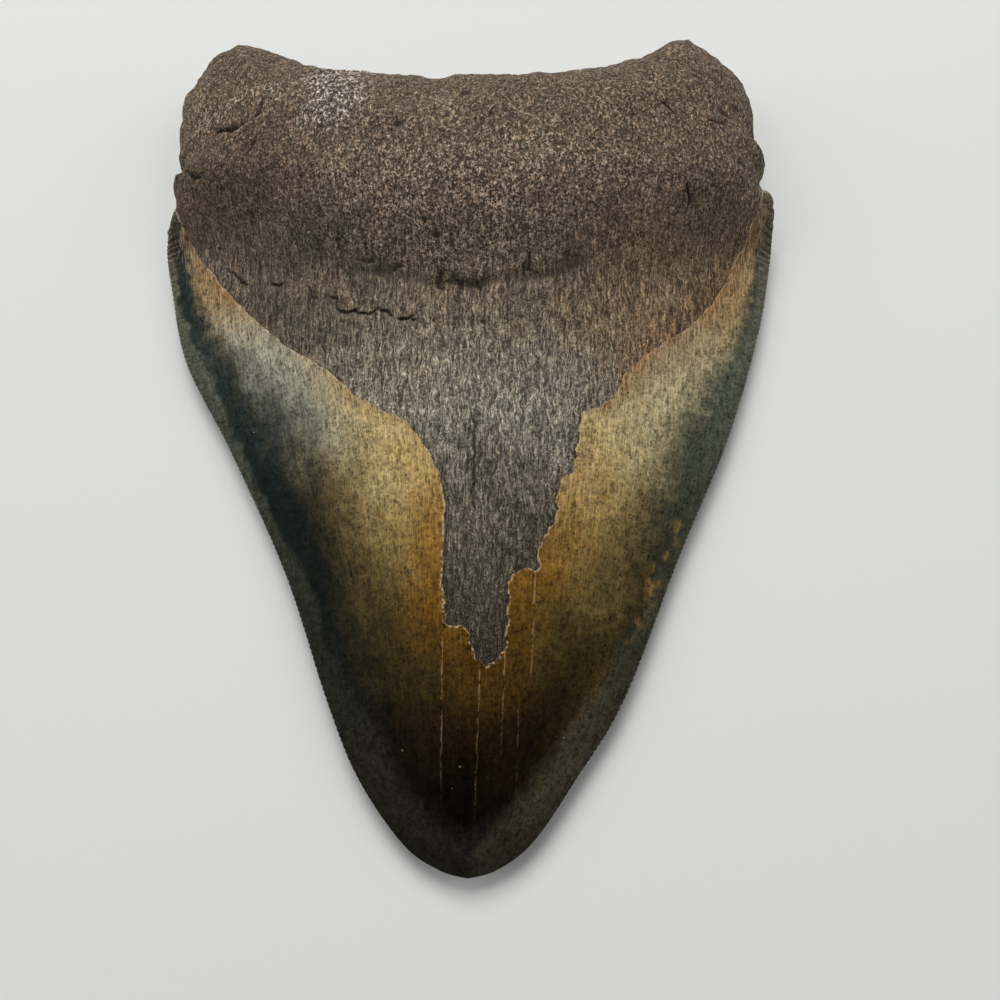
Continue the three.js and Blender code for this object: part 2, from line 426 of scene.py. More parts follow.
@dataclass
class CuttingEdge:
    """One cutting edge with its row of fine, rounded serrations, worn away towards the tip."""

    line: np.ndarray
    inward_sign: int
    seed: int
    pitch: float = 0.92
    depth: float = 0.2
    first: float = 0.5
    worn_to: float = 4.0
    whole_from: float = 36.0

    def points(self) -> np.ndarray:
        """The serrated edge.

        Returns:
            Rows of x, y from the tip to the shoulder, several to a serration.
        """
        random = np.random.default_rng(self.seed)
        fine = evenly(self.line, 0.05)
        inward = right_hand(fine) * self.inward_sign
        length = 0.05 * (len(fine) - 1)
        starts = np.cumsum(self.pitch * random.uniform(0.82, 1.18, int(length / self.pitch) + 1))
        starts = np.r_[self.first, self.first + starts[starts < length - 2.0 * self.pitch]]
        sizes = np.diff(np.r_[starts, length])
        depths = self.depth * random.uniform(0.45, 1.15, len(starts))
        depths *= ease(self.worn_to, self.whole_from, starts)
        phases = np.array([0.0, 0.13, 0.37, 0.63, 0.87])
        places = (starts[:, None] + phases * sizes[:, None]).ravel()
        notch = (depths[:, None] * (1.0 - np.sin(math.pi * phases) ** 0.6)).ravel()
        index = np.minimum((places / 0.05).astype(int), len(fine) - 1)
        return np.vstack([fine[:1], fine[index] + inward[index] * notch[:, None], fine[-1:]])


@dataclass(frozen=True)
class Dent:
    """A chip or pit: its middle in plan, how wide it is and how deep."""

    x: float
    y: float
    radius: float
    depth: float
    stretch: float = 1.0

    def strength(self, points: np.ndarray) -> np.ndarray:
        """How strongly the dent is felt at each point, from 0 to 1 in its middle."""
        across = (points[:, 0] - self.x) / (self.radius * self.stretch)
        along = (points[:, 1] - self.y) / self.radius
        return np.exp(-(across**2 + along**2))


@dataclass(frozen=True)
class Crack:
    """An open crack or worn groove that follows a short course."""

    course: Sequence[Point]
    width: float
    depth: float

    def line(self) -> np.ndarray:
        """The crack's middle line."""
        return smooth_curve(self.course, 0.3)

    def strength(self, points: np.ndarray) -> np.ndarray:
        """How strongly the crack is felt at each point, from 0 to 1 on its middle line."""
        return np.exp(-((distance_to_line(points, self.line()) / self.width) ** 2))


@dataclass(frozen=True)
class Bumps:
    """One kind of surface bumps: their size along each axis and their height."""

    cell: tuple[float, float, float]
    height: float

    def height_at(self, roughness: Roughness, places: np.ndarray) -> np.ndarray:
        """Height of the bumps at each place."""
        return self.height * roughness.at(places + 100.0 * self.height, self.cell)


@dataclass
class BrokenEdge:
    """The edge of one layer over another, which stands proud of it as a thin broken step.

    The line runs from left to right, with the layer that stands proud on its right-hand side
    when upper_below is true, and on its left-hand side otherwise.
    """

    course: Sequence[tuple[bool, Sequence[Point]]]
    step: float
    raggedness: float
    reach: float
    calm: float = 0.35
    lasting: float = 0.0
    upper_below: bool = True
    gaps: float = 0.0
    splinter: float = 0.55
    wall: float = 0.13
    spacing: float = 0.25
    fade_in: float = 3.0
    far: float = 90.0

    def shape(self, roughness: Roughness) -> None:
        """Works out the ragged line and its foot.

        Args:
            roughness: Bumps that make the line ragged.
        """
        stretches = []
        ragged = []
        for smooth, points in self.course:
            line = smooth_curve(points, 0.2) if smooth else evenly(np.array(points, dtype=float), 0.2)
            stretches.append(line)
            ragged.append(np.full(len(line), self.calm if smooth else 1.0))
        joined = np.concatenate(stretches)
        plain = evenly(joined, self.spacing)
        along = length_along(joined)
        ragged = np.interp(np.linspace(0.0, along[-1], len(plain)), along, np.concatenate(ragged))
        places = flat_points(plain)
        sway = roughness.at(places, (1.7, 1.7, 1.0)) + 0.6 * roughness.at(places, (0.7, 0.7, 1.0))
        sway = blend(sway, np.round(sway / self.splinter) * self.splinter, 0.7)
        ends = np.minimum(np.arange(len(plain)), np.arange(len(plain))[::-1]) * self.spacing
        sway *= self.raggedness * ragged * ease(0.0, 2.0, ends)
        self.line = plain + right_hand(plain) * sway[:, None]
        lower = -1.0 if self.upper_below else 1.0
        self.foot = self.line + right_hand(self.line) * (lower * self.wall)
        start, end = self.line[0], self.line[-1]
        skirt = -self.far if self.upper_below else 2 * self.far
        self.roughness = roughness
        around = [(self.far, end[1]), (self.far, skirt), (-self.far, skirt), (-self.far, start[1])]
        self.loop = np.vstack([self.line, around])

    def height_over(self, points: np.ndarray) -> np.ndarray:
        """Signed distance from the line: above 0 on the layer that stands proud."""
        distance = distance_to_line(points, self.line)
        return np.where(inside_loop(points, self.loop), distance, -distance)

    def presence(self, points: np.ndarray) -> np.ndarray:
        """How much of the step is there near each point: 0 at the ends and in gaps, 1 elsewhere."""
        kept = ease(-0.2, 0.25, self.roughness.at(flat_points(points), (2.6, 2.6, 1.0)))
        return blend(1.0, kept, self.gaps) * ease(0.0, self.fade_in, self.to_end(points))

    def drop(self, points: np.ndarray, signed: np.ndarray) -> np.ndarray:
        """How far the lower layer lies below.

        Args:
            points: Rows of x, y.
            signed: Signed distance of each point, as height_over gives.

        Returns:
            One drop per point.
        """
        below = np.maximum(-signed, 0.0)
        wall = np.clip(below / self.wall, 0.0, 1.0)
        fade = self.lasting + (1.0 - self.lasting) * np.exp(-((below / self.reach) ** 2))
        return self.step * wall * fade * self.presence(points)

    def to_end(self, points: np.ndarray) -> np.ndarray:
        """Plan distance of each point to the nearer end of the line."""
        ends = [np.hypot(*(points - self.line[index]).T) for index in (0, -1)]
        return np.minimum(*ends)


# ---------------------------------------------------------------------------------------------
# Layers and wear of this tooth
# ---------------------------------------------------------------------------------------------


@dataclass
class EnamelCap:
    """Where the enamel ends on each face, how high it stands, and its long soft waves."""

    tongue_border: BrokenEdge = field(default_factory=lambda: BrokenEdge(
        course=(
            (True, (
                (-56.5, 114.4), (-55.3, 111.8), (-53.4, 108), (-50.2, 102.8), (-42.5, 93.5),
                (-36, 86.6), (-29, 80.6), (-23.3, 76.5), (-18.7, 72), (-14.4, 69.2), (-11, 67),
                (-8.6, 64.6), (-7.2, 62.5), (-6, 60.4), (-4.6, 57.4), (-3.9, 53.6), (-3.9, 47.6),
                (-4.2, 41.7),
            )),
            (False, (
                (-4.1, 40), (-3.9, 34.8), (-1, 34.5), (0, 33), (0.9, 31.3), (2.7, 29.3),
                (4.1, 30.8), (5.3, 32), (5.6, 35.2), (5.8, 40.2), (6.4, 42.5), (8.4, 43.6),
                (10.1, 43.8), (10.3, 46.7), (11.6, 48.4), (13.2, 50.4), (13.8, 52.8), (13.6, 56),
                (14.4, 57.8), (15.9, 59.4), (16.6, 61.8), (17.2, 65.9), (18.1, 68.5), (20, 70),
                (22.9, 72.2), (25.2, 75.8), (28.2, 79.8), (32, 83.4),
            )),
            (True, (
                (32.4, 83.7), (38, 88), (43.3, 94.4), (47.6, 102), (50.6, 108.2), (52.1, 112.2),
                (52.9, 114.8), (53.4, 117),
            )),
        ),
        step=0.62, raggedness=0.5, reach=3.2, lasting=0.35, fade_in=55.0,
    ))
    lip_border: BrokenEdge = field(default_factory=lambda: BrokenEdge(
        course=(
            (True, (
                (-56.5, 114.4), (-53, 111.8), (-45, 109.2), (-34, 107), (-22, 104.6), (-10, 102.6),
                (1, 102), (12, 102.8), (23, 105), (34, 107.4), (44, 109.4), (50.4, 112.6),
                (53.4, 117),
            )),
        ),
        step=0.3, raggedness=1.2, reach=4.0,
    ))
    waves: Sequence[Bumps] = (
        Bumps((5.5, 42, 8), 0.11),
        Bumps((1.7, 24, 4), 0.035),
    )


@dataclass
class RootSurface:
    """What breaks up the surface of the root and of the dentine below it."""

    foot_edge: BrokenEdge = field(default_factory=lambda: BrokenEdge(
        course=(
            (False, (
                (-46.5, 101.4), (-43.4, 99.2), (-42.2, 97.7), (-38.3, 95.5), (-37.4, 97.7),
                (-35.6, 96.1), (-34.5, 95), (-32.3, 94.1), (-31.5, 94.8), (-30.1, 94.9),
                (-29.5, 93.6), (-27.4, 92.6), (-27.1, 90.4), (-25.2, 89.6), (-23.4, 89.7),
                (-22.4, 89.1), (-22, 87.3), (-20.6, 86.7), (-18.8, 86.9), (-18, 86.2), (-16.6, 85.8),
                (-14.9, 86.1), (-13.5, 85.5), (-11.8, 84.3), (-9.5, 84.1), (-7.7, 82.9), (-5, 83.6),
            )),
        ),
        step=0.34, raggedness=0.5, reach=1.2, upper_below=False, gaps=0.6, wall=0.16,
    ))
    foot_groove: Crack = Crack(
        ((-18, 93.2), (-12, 91.4), (-8.4, 90.5), (-2.3, 90.1), (3, 90.3), (9, 91), (15.7, 93.6), (19, 95)),
        width=1.2, depth=0.4,
    )
    # Share of painted shadow along the groove, under the root's overhanging foot.
    groove_shade: float = 0.56
    pitted: Dent = Dent(-2.0, 98.0, 8.0, 0.0, 2.2)
    cracks: Sequence[Crack] = (
        Crack(((-45, 121.5), (-42.3, 120.7), (-40.3, 120.2)), 0.36, 0.8),
        Crack(((-37.9, 121.1), (-36.9, 122.6), (-36.2, 123.8)), 0.3, 0.5),
        Crack(((-36.9, 117.4), (-37.6, 115), (-38.2, 113)), 0.26, 0.3),
        Crack(((-46.4, 122.6), (-46.9, 124.6)), 0.22, 0.3),
        Crack(((-30.4, 132.2), (-28.6, 132), (-25.6, 131.3)), 0.34, 0.6),
        Crack(((41.5, 121.7), (43.4, 122.8), (45.3, 124.6)), 0.3, 0.5),
        Crack(((32.2, 123), (33.4, 122), (34.3, 121.2)), 0.3, 0.4),
        Crack(((36.3, 108.2), (36.6, 106.9), (36.4, 105.8)), 0.24, 0.4),
        Crack(((50.6, 124.4), (52.4, 125.4), (54, 125.6)), 0.3, 0.7),
        Crack(((-54.6, 119.4), (-52, 116.4), (-49.6, 114.2), (-47.9, 113.1)), 0.3, 0.4),
        Crack(((0.3, 66.5), (0.6, 61.5), (0.5, 58), (0.9, 52.5)), 0.26, 0.35),
        Crack(((-0.3, 46), (-0.2, 40), (-0.1, 35.5)), 0.15, 0.1),
        Crack(((-4.4, 91), (-5.2, 89.4), (-4.6, 88.6)), 0.5, 0.4),
        Crack(((-1.8, 90.4), (-1.5, 88.8)), 0.45, 0.4),
        Crack(((1.4, 90.4), (1.6, 88.6)), 0.4, 0.4),
        Crack(((9.3, 94.4), (9.2, 92)), 0.35, 0.4),
    )
    pits: Sequence[Dent] = (
        Dent(3.4, 117.1, 0.75, 0.8),
        Dent(-11.9, 114.6, 0.75, 0.6, 1.5),
        Dent(-12.0, 126.4, 0.7, 0.5),
        Dent(-42.0, 120.6, 0.7, 0.5),
        Dent(45.0, 126.2, 0.5, 0.6),
        Dent(47.8, 128.7, 0.5, 0.6),
        Dent(-28.0, 107.3, 0.6, 0.4),
        Dent(47.2, 116.4, 0.6, 0.4),
        Dent(12.5, 113.2, 0.6, 0.4),
        Dent(27.0, 118.7, 0.6, 0.35),
        Dent(8.2, 84.0, 0.55, 0.5),
        Dent(-9.6, 84.1, 0.4, 0.3, 1.6),
        Dent(-6.0, 83.0, 0.45, 0.35, 1.6),
        Dent(-2.3, 83.6, 0.5, 0.4, 1.3),
        Dent(1.7, 83.0, 0.45, 0.35, 2.2),
        Dent(3.6, 82.2, 0.35, 0.3),
        Dent(5.4, 83.8, 0.45, 0.35, 1.4),
        Dent(10.6, 84.2, 0.4, 0.35, 1.4),
        Dent(11.4, 87.7, 0.35, 0.3, 1.4),
        Dent(13.4, 88.3, 0.35, 0.3),
        Dent(15.6, 88.2, 0.35, 0.3, 1.5),
        Dent(18.0, 88.5, 0.4, 0.3, 1.3),
        Dent(20.8, 89.3, 0.35, 0.35),
        Dent(21.8, 91.2, 0.5, 0.45),
        Dent(23.8, 91.8, 0.45, 0.4),
        Dent(25.2, 93.3, 0.35, 0.3, 1.4),
        Dent(28.0, 94.0, 0.35, 0.25, 1.6),
        Dent(-7.4, 98.4, 0.6, 0.4, 1.3),
        Dent(-5.6, 96.9, 0.7, 0.4, 1.6),
        Dent(-4.0, 97.7, 0.4, 0.4),
        Dent(6.2, 96.2, 0.6, 0.4, 1.8),
        Dent(-17.2, 94.4, 0.4, 0.3, 2.6),
        Dent(-12.2, 92.6, 0.5, 0.35, 2.0),
        Dent(-1.0, 122.0, 0.9, 0.4),
        Dent(24.0, 128.0, 0.8, 0.4),
        Dent(-24.0, 122.0, 0.7, 0.35),
        Dent(0.8, 89.8, 0.9, 0.4, 3.0),
        Dent(-3.4, 89.8, 0.8, 0.4, 2.0),
    )
    rim_chips: Sequence[Dent] = (
        Dent(-6.7, 138.4, 1.5, 0.8),
        Dent(-56.7, 120.4, 1.1, 1.6),
        Dent(-57.2, 115.4, 1.0, 0.4),
        Dent(53.9, 126.2, 0.9, 0.5),
        Dent(54.8, 117.2, 0.9, 0.4),
        Dent(29.5, 144.2, 1.6, 0.6),
        Dent(-30.5, 142.6, 1.5, 0.5),
        Dent(38.4, 148.6, 1.0, 0.5),
        Dent(-48.5, 149.0, 1.4, 0.7),
        Dent(-56.4, 139.0, 1.4, 0.6),
    )
    fibres: Dent = Dent(-22.0, 96.0, 5.0, 0.5, 1.5)
    fibre_cell: tuple[float, float, float] = (1.1, 9.0, 3.0)
    lip_pits: Sequence[Dent] = (
        Dent(-34, 124, 1.1, 1.0), Dent(-21, 118, 0.9, 0.9), Dent(-9, 124, 1.0, 1.0),
        Dent(6, 117, 0.8, 0.8), Dent(17, 125, 1.1, 1.1), Dent(31, 119, 0.9, 0.8),
        Dent(42, 130, 1.0, 0.9), Dent(-44, 134, 0.9, 0.8), Dent(-28, 134, 0.8, 0.7),
        Dent(27, 134, 0.9, 0.8),
    )
    lip_cracks: Sequence[Crack] = (
        Crack(((-12, 103), (-11.4, 109), (-12.6, 116), (-11.8, 121)), 0.4, 0.5),
        Crack(((20, 105), (20.8, 111), (19.8, 118), (21, 126), (20.4, 131)), 0.4, 0.5),
        Crack(((-38, 108), (-38.8, 114), (-38.2, 121)), 0.35, 0.4),
        Crack(((2, 101), (1.4, 93), (2.2, 84), (1.6, 72)), 0.25, 0.22),
        Crack(((-16, 98), (-15.2, 88), (-15.9, 79)), 0.22, 0.18),
        Crack(((22, 99), (21, 90), (21.4, 83)), 0.22, 0.18),
    )
    neck_bumps: Sequence[Bumps] = (
        Bumps((4.2, 11, 5), 0.16),
        Bumps((1.0, 5.5, 2), 0.10),
        Bumps((0.9, 0.9, 0.9), 0.05),
    )
    root_bumps: Sequence[Bumps] = (
        Bumps((8.5, 11, 8), 0.42),
        Bumps((2.8, 3.4, 2.8), 0.25),
        Bumps((1.1, 1.3, 1.1), 0.18),
    )


# ---------------------------------------------------------------------------------------------
# Skin mesh
# ---------------------------------------------------------------------------------------------


@dataclass(frozen=True)
class Fineness:
    """How closely the points of one face are laid."""

    open_surface: float
    near_lines: float
    line_band: float
    roll_radius: float
    roll_depth: float
    roll_spacing: float


class LaidPoints:
    """Plan points of one face, each batch kept clear of the batches laid before it."""

    def __init__(self, first: np.ndarray, lay_flat: Callable[[np.ndarray], np.ndarray]) -> None:
        """Starts with the points that must stay."""
        self.lay_flat = lay_flat
        self.plan = first
        self.flat = lay_flat(first)

    def lay(self, batch: np.ndarray, clearance: float) -> None:
        """Adds the points of a batch that are clear of all points laid so far.

        Args:
            batch: Rows of x, y in plan.
            clearance: Smallest distance to a point laid before, with the face laid flat.
        """
        tree = KDTree(len(self.flat))
        for index, (x, y) in enumerate(self.flat):
            tree.insert((x, y, 0.0), index)
        tree.balance()
        flat = self.lay_flat(batch)
        clear = np.array([tree.find((x, y, 0.0))[2] > clearance for x, y in flat], dtype=bool)
        self.plan = np.vstack([self.plan, batch[clear]])
        self.flat = np.vstack([self.flat, flat[clear]])

    def lay_midway(self, pairs: np.ndarray) -> None:
        """Adds a point midway between the two points of each pair, and a little to their right.

        Args:
            pairs: Rows of two point numbers.
        """
        self.plan = np.vstack([self.plan, self._midway(self.plan[pairs])])
        self.flat = np.vstack([self.flat, self._midway(self.flat[pairs])])

    @staticmethod
    def _midway(ends: np.ndarray) -> np.ndarray:
        """Point to the right of the middle of each pair of ends, by a tenth of their distance."""
        along = ends[:, 1] - ends[:, 0]
        return ends.mean(axis=1) + 0.1 * np.column_stack([along[:, 1], -along[:, 0]])


def without_straight(loop: np.ndarray, least_turn: float = 1e-6) -> np.ndarray:
    """A closed line without the points that lie straight between their two neighbours."""
    back = loop - np.roll(loop, 1, axis=0)
    ahead = np.roll(loop, -1, axis=0) - loop
    return loop[np.abs(back[:, 0] * ahead[:, 1] - back[:, 1] * ahead[:, 0]) > least_turn]


def staggered(low: Point, high: Point, spacing: float, random: np.random.Generator) -> np.ndarray:
    """Slightly shaken points in staggered rows.

    Args:
        low: Lowest corner of the area.
        high: Highest corner of the area.
        spacing: Distance between neighbours.
        random: Source of the shaking.

    Returns:
        Rows of x, y.
    """
    rows = np.arange(low[1], high[1], spacing * math.sqrt(0.75))
    columns = np.arange(low[0], high[0], spacing)
    x = columns[None, :] + (np.arange(len(rows)) % 2)[:, None] * spacing / 2.0
    y = np.repeat(rows[:, None], len(columns), axis=1)
    points = np.stack([x.ravel(), y.ravel()], axis=1)
    return points + random.uniform(-0.14, 0.14, points.shape) * spacing


@dataclass
class ToothSkin:
    """The closed skin of the whole tooth: rim, tongue-side face and lip-side face."""

    form: ToothForm
    enamel: EnamelCap
    root: RootSurface
    fineness: dict[Face, Fineness] = field(default_factory=lambda: {
        Face.TONGUE: Fineness(0.52, 0.32, 1.0, 12.0, 4.0, 0.5),
        Face.LIP: Fineness(0.86, 0.5, 1.0, 6.0, 3.0, 0.7),
    })
    blade_rows: Sequence[Point] = ((0.42, 0.25), (0.68, 0.32), (1.0, 0.4), (1.4, 0.5))
    root_rim_spacing: float = 0.5
    chord_rounds: int = 6
    root_rim_wear: float = 0.36
    blade_free: Point = (0.2, 3.5)
    notch_depth: float = 0.1
    sharp_angle: float = 52.0

    def __post_init__(self) -> None:
        """Shapes the ragged lines and gets the repeatable roughness ready."""
        self.coarse = Roughness(11)
        self.random = np.random.default_rng(5)
        self.enamel.tongue_border.shape(Roughness(31))
        self.enamel.lip_border.shape(Roughness(37))
        self.root.foot_edge.shape(Roughness(41))
        self.border = {Face.TONGUE: self.enamel.tongue_border, Face.LIP: self.enamel.lip_border}

    # -- rim ---------------------------------------------------------------------------------

    def lay_rim(self) -> None:
        """Lays the rim clockwise from the tip: left edge, root, right edge."""
        left = CuttingEdge(self.form.left_edge, inward_sign=1, seed=3).points()
        right = CuttingEdge(self.form.right_edge, inward_sign=-1, seed=8).points()
        sides = [self.form.left_side, self.form.margin, self.form.right_side[::-1]]
        root = evenly(np.concatenate(sides), self.root_rim_spacing)
        ends = np.minimum(np.arange(len(root)), np.arange(len(root))[::-1]) * self.root_rim_spacing
        wear = 1.0 + self.coarse.layered(flat_points(root), (3.2, 3.2, 1.0), 3)
        wear *= self.root_rim_wear * ease(0.0, 4.0, ends)
        for chip in self.root.rim_chips:
            wear += chip.depth * chip.strength(root)
        self.root_rim = root + right_hand(root) * wear[:, None]
        self.rim = without_straight(np.vstack([left[:-1], self.root_rim[:-1], right[::-1][:-1]]))
        edges = [evenly(self.form.left_edge, 1.0)[::-1], evenly(self.form.right_edge, 1.0)]
        self.blade = np.vstack(edges)
        self.roll_line = evenly(self.root_rim, 0.8)
        smooth = np.ones(9) / 9.0
        facing = right_hand(self.roll_line)
        padded = np.pad(facing, ((4, 4), (0, 0)), mode="edge")
        smoothed = [np.convolve(column, smooth, "valid") for column in padded.T]
        self.roll_facing = np.column_stack(smoothed)

    # -- points ------------------------------------------------------------------------------

    def laid_flat(self, points: np.ndarray, fine: Fineness) -> np.ndarray:
        """Plan points pushed outwards near the root's rim, as if its roll were laid flat.

        Args:
            points: Rows of x, y.
            fine: Fineness of the face, which gives the radius of the roll.

        Returns:
            Rows of x, y to triangulate in.
        """
        distance, place = nearest_on_line(points, self.roll_line)
        rows = np.arange(len(self.roll_line))
        facing = np.stack([np.interp(place, rows, self.roll_facing[:, axis]) for axis in (0, 1)], axis=1)
        turn = np.arccos(1.0 - np.minimum(distance / fine.roll_radius, 1.0))
        push = fine.roll_radius * (math.pi / 2.0 - turn - np.cos(turn))
        push *= ease(self.form.shoulder_start, self.form.shoulder_end + 3.0, points[:, 1])
        return points - facing * push[:, None]

    def roll_rows(self, fine: Fineness) -> list[np.ndarray]:
        """Rows of points just inside the root's rim, drawn together where the face rolls over."""
        line = evenly(self.root_rim, fine.roll_spacing / 2.0)
        inward = right_hand(line)
        last_turn = math.acos(1.0 - fine.roll_depth / fine.roll_radius)
        rows = []
        for row in range(1, int(last_turn * fine.roll_radius / fine.roll_spacing) + 1):
            shift = fine.roll_radius * (1.0 - math.cos(row * fine.roll_spacing / fine.roll_radius))
            points = (line + inward * shift)[row % 2 :: 2]
            rows.append(points[distance_to_line(points, self.root_rim) > 0.97 * shift])
        return rows

    def edge_rows(self, fine: Fineness) -> list[np.ndarray]:
        """Rows of points just inside the cutting edges, wider apart with each row."""
        rows = []
        for shift, spacing in self.blade_rows:
            spacing = max(spacing, 0.7 * shift * fine.open_surface)
            left = evenly(self.form.left_edge, spacing)
            right = evenly(self.form.right_edge, spacing)
            points = np.vstack([left + right_hand(left) * shift, right - right_hand(right) * shift])
            rows.append(points[self.well_inside(points, 0.97 * shift, 0.6 * shift)])
        return rows

    def well_inside(self, points: np.ndarray, from_blade: float, from_root: float) -> np.ndarray:
        """Whether each point lies inside the rim and clear of its two parts."""
        clear = inside_loop(points, self.rim[::4])
        clear &= distance_to_line(points, self.blade) > from_blade
        return clear & (distance_to_line(points, evenly(self.root_rim, 1.0)) > from_root)

    def inner_run(self, line: np.ndarray, clearance: float) -> np.ndarray:
        """The middle stretch of a line, as far as it stays clear of the rim."""
        kept = np.flatnonzero(self.well_inside(line, clearance, clearance))
        return line[kept[0] : kept[-1] + 1]

    def near_lines(self, face: Face, points: np.ndarray) -> np.ndarray:
        """Whether each point lies in a band that needs close points.

        Args:
            face: Which face.
            points: Rows of x, y.

        Returns:
            One truth value per point.
        """
        band = self.fineness[face].line_band
        near = distance_to_line(points, evenly(self.border[face].line, 0.8)) < band
        cracks = self.root.lip_cracks
        if face is Face.TONGUE:
            near |= distance_to_line(points, evenly(self.root.foot_edge.line, 0.8)) < 0.9 * band
            cracks = (self.root.foot_groove, *self.root.cracks)
        for crack in cracks:
            near |= distance_to_line(points, crack.line()) < 2.6 * crack.width
        return near

    def lay_face(self, face: Face) -> tuple[np.ndarray, np.ndarray]:
        """Lays the points of one face and joins them into triangles.

        Args:
            face: Which face.

        Returns:
            All plan points, the rim's first, and the triangles as rows of point numbers.
        """
        fine = self.fineness[face]
        edges = [self.border[face]]
        if face is Face.TONGUE:
            edges.append(self.root.foot_edge)
        lines = []
        for edge in edges:
            lines += [self.inner_run(edge.line, 0.5), self.inner_run(edge.foot, 1.2)]
        laid = LaidPoints(np.vstack([self.rim, *lines]), lambda points: self.laid_flat(points, fine))
        for row in self.roll_rows(fine):
            laid.lay(row, 0.55 * fine.roll_spacing)
        for row in self.edge_rows(fine):
            laid.lay(row, 0.15)
        low, high = self.rim.min(axis=0), self.rim.max(axis=0)
        close = staggered(low, high, fine.near_lines, self.random)
        close = close[self.near_lines(face, close)]
        laid.lay(close[self.well_inside(close, 1.5, fine.roll_depth)], 0.6 * fine.near_lines)
        open_points = staggered(low, high, fine.open_surface, self.random)
        open_points = open_points[self.well_inside(open_points, 1.6, fine.roll_depth)]
        laid.lay(open_points, 0.62 * fine.open_surface)
        plan, corners = self.join(laid, lines)
        for _ in range(self.chord_rounds):
            chords = self.rim_chords(corners)
            if not len(chords):
                break
            laid.lay_midway(chords)
            plan, corners = self.join(laid, lines)
        return plan, corners

    def rim_chords(self, corners: np.ndarray) -> np.ndarray:
        """Edges of a face that join two points of the rim which are not neighbours on it.

        Args:
            corners: Triangles of the face as rows of point numbers, the rim's first.

        Returns:
            Rows of two point numbers.
        """
        count = len(self.rim)
        sides = np.vstack([corners[:, :2], corners[:, 1:], corners[:, ::2]])
        edges = np.unique(np.sort(sides, axis=1), axis=0)
        apart = edges[:, 1] - edges[:, 0]
        return edges[(edges[:, 1] < count) & (apart > 1) & (apart < count - 1)]

    def join(self, laid: LaidPoints, lines: Sequence[np.ndarray]) -> tuple[np.ndarray, np.ndarray]:
        """Joins points into triangles that keep the rim and the given lines as edges.

        Args:
            laid: The points: the rim, then each line, then the rest.
            lines: The lines, in the order in which their points come.

        Returns:
            The plan points and the triangles.
        """
        count = len(self.rim)
        edges = [(index, (index + 1) % count) for index in range(count)]
        start = count
        for line in lines:
            edges += [(index, index + 1) for index in range(start, start + len(line) - 1)]
            start += len(line)
        vertices, _, triangles, origins, _, _ = delaunay_2d_cdt(
            [Vector(point) for point in laid.flat], edges, [], 0, 1e-5, True
        )
        flat = np.array([tuple(vertex) for vertex in vertices])
        source = np.array([origin[0] if origin else -1 for origin in origins])
        made = np.flatnonzero(source < 0)
        plan = np.vstack([laid.plan, flat[made]])
        source[made] = len(laid.plan) + np.arange(len(made))
        corners = np.array([tuple(triangle) for triangle in triangles])
        inside = inside_loop(flat[corners].mean(axis=1), laid.flat[:count])
        return plan, source[corners[inside]]

    # -- heights -----------------------------------------------------------------------------

    def face_height(self, face: Face, points: np.ndarray) -> np.ndarray:
        """Height of one face, with the steps of its layers but without its bumps.

        Args:
            face: Which face.
            points: Rows of x, y.

        Returns:
            One height per point.
        """
        to_root_rim = distance_to_line(points, self.root_rim)
        border = self.border[face]
        signed = border.height_over(points)
        drop = border.drop(points, signed)
        if face is Face.LIP:
            return self.form.base_height(points, to_root_rim) + drop * ease(0.0, 4.0, to_root_rim)
        foot_edge = self.root.foot_edge
        foot_drop = foot_edge.drop(points, foot_edge.height_over(points))
        drop = drop + np.where(signed < -border.wall, foot_drop, 0.0)
        return self.form.top_height(points, to_root_rim) - drop * ease(0.0, 4.0, to_root_rim)

    def strayed(self, plan: np.ndarray) -> np.ndarray:
        """Plan points pushed about a little, which makes whatever is measured there ragged."""
        places = flat_points(plan)
        near = [self.coarse.at(places + shift, (0.9, 0.9, 1.0)) for shift in (3.0, 40.0)]
        wide = [self.coarse.at(places + shift, (2.8, 2.8, 1.0)) for shift in (7.0, 31.0)]
        return plan + 0.3 * np.column_stack(near) + 0.5 * np.column_stack(wide)

    def bumps(self, face: Face, places: np.ndarray, signed: np.ndarray) -> np.ndarray:
        """Height of the bumps of one face, outwards along its normals.

        Args:
            face: Which face.
            places: Rows of x, y, z.
            signed: Signed distance to the enamel's border, above 0 on the enamel.

        Returns:
            One height per place.
        """
        plan = places[:, :2]
        waves = sum(bumps.height_at(self.coarse, places) for bumps in self.enamel.waves)
        neck = sum(bumps.height_at(self.coarse, places) for bumps in self.root.neck_bumps)
        root = sum(bumps.height_at(self.coarse, places) for bumps in self.root.root_bumps)
        bone = blend(neck, root, self.form.root_share(plan))
        if face is Face.TONGUE:
            wear = [*self.root.cracks, *self.root.pits, self.root.foot_groove]
            ridge = 1.0 - 2.0 * np.abs(self.coarse.at(places, self.root.fibre_cell))
            bone += self.root.fibres.depth * ridge * self.root.fibres.strength(plan)
        else:
            wear = [*self.root.lip_cracks, *self.root.lip_pits]
        strayed = self.strayed(plan)
        for mark in wear:
            bone -= mark.depth * mark.strength(strayed)
        height = np.where(signed > 0.0, waves, bone)
        return height * ease(*self.blade_free, distance_to_line(plan, self.blade))

    # -- skin --------------------------------------------------------------------------------

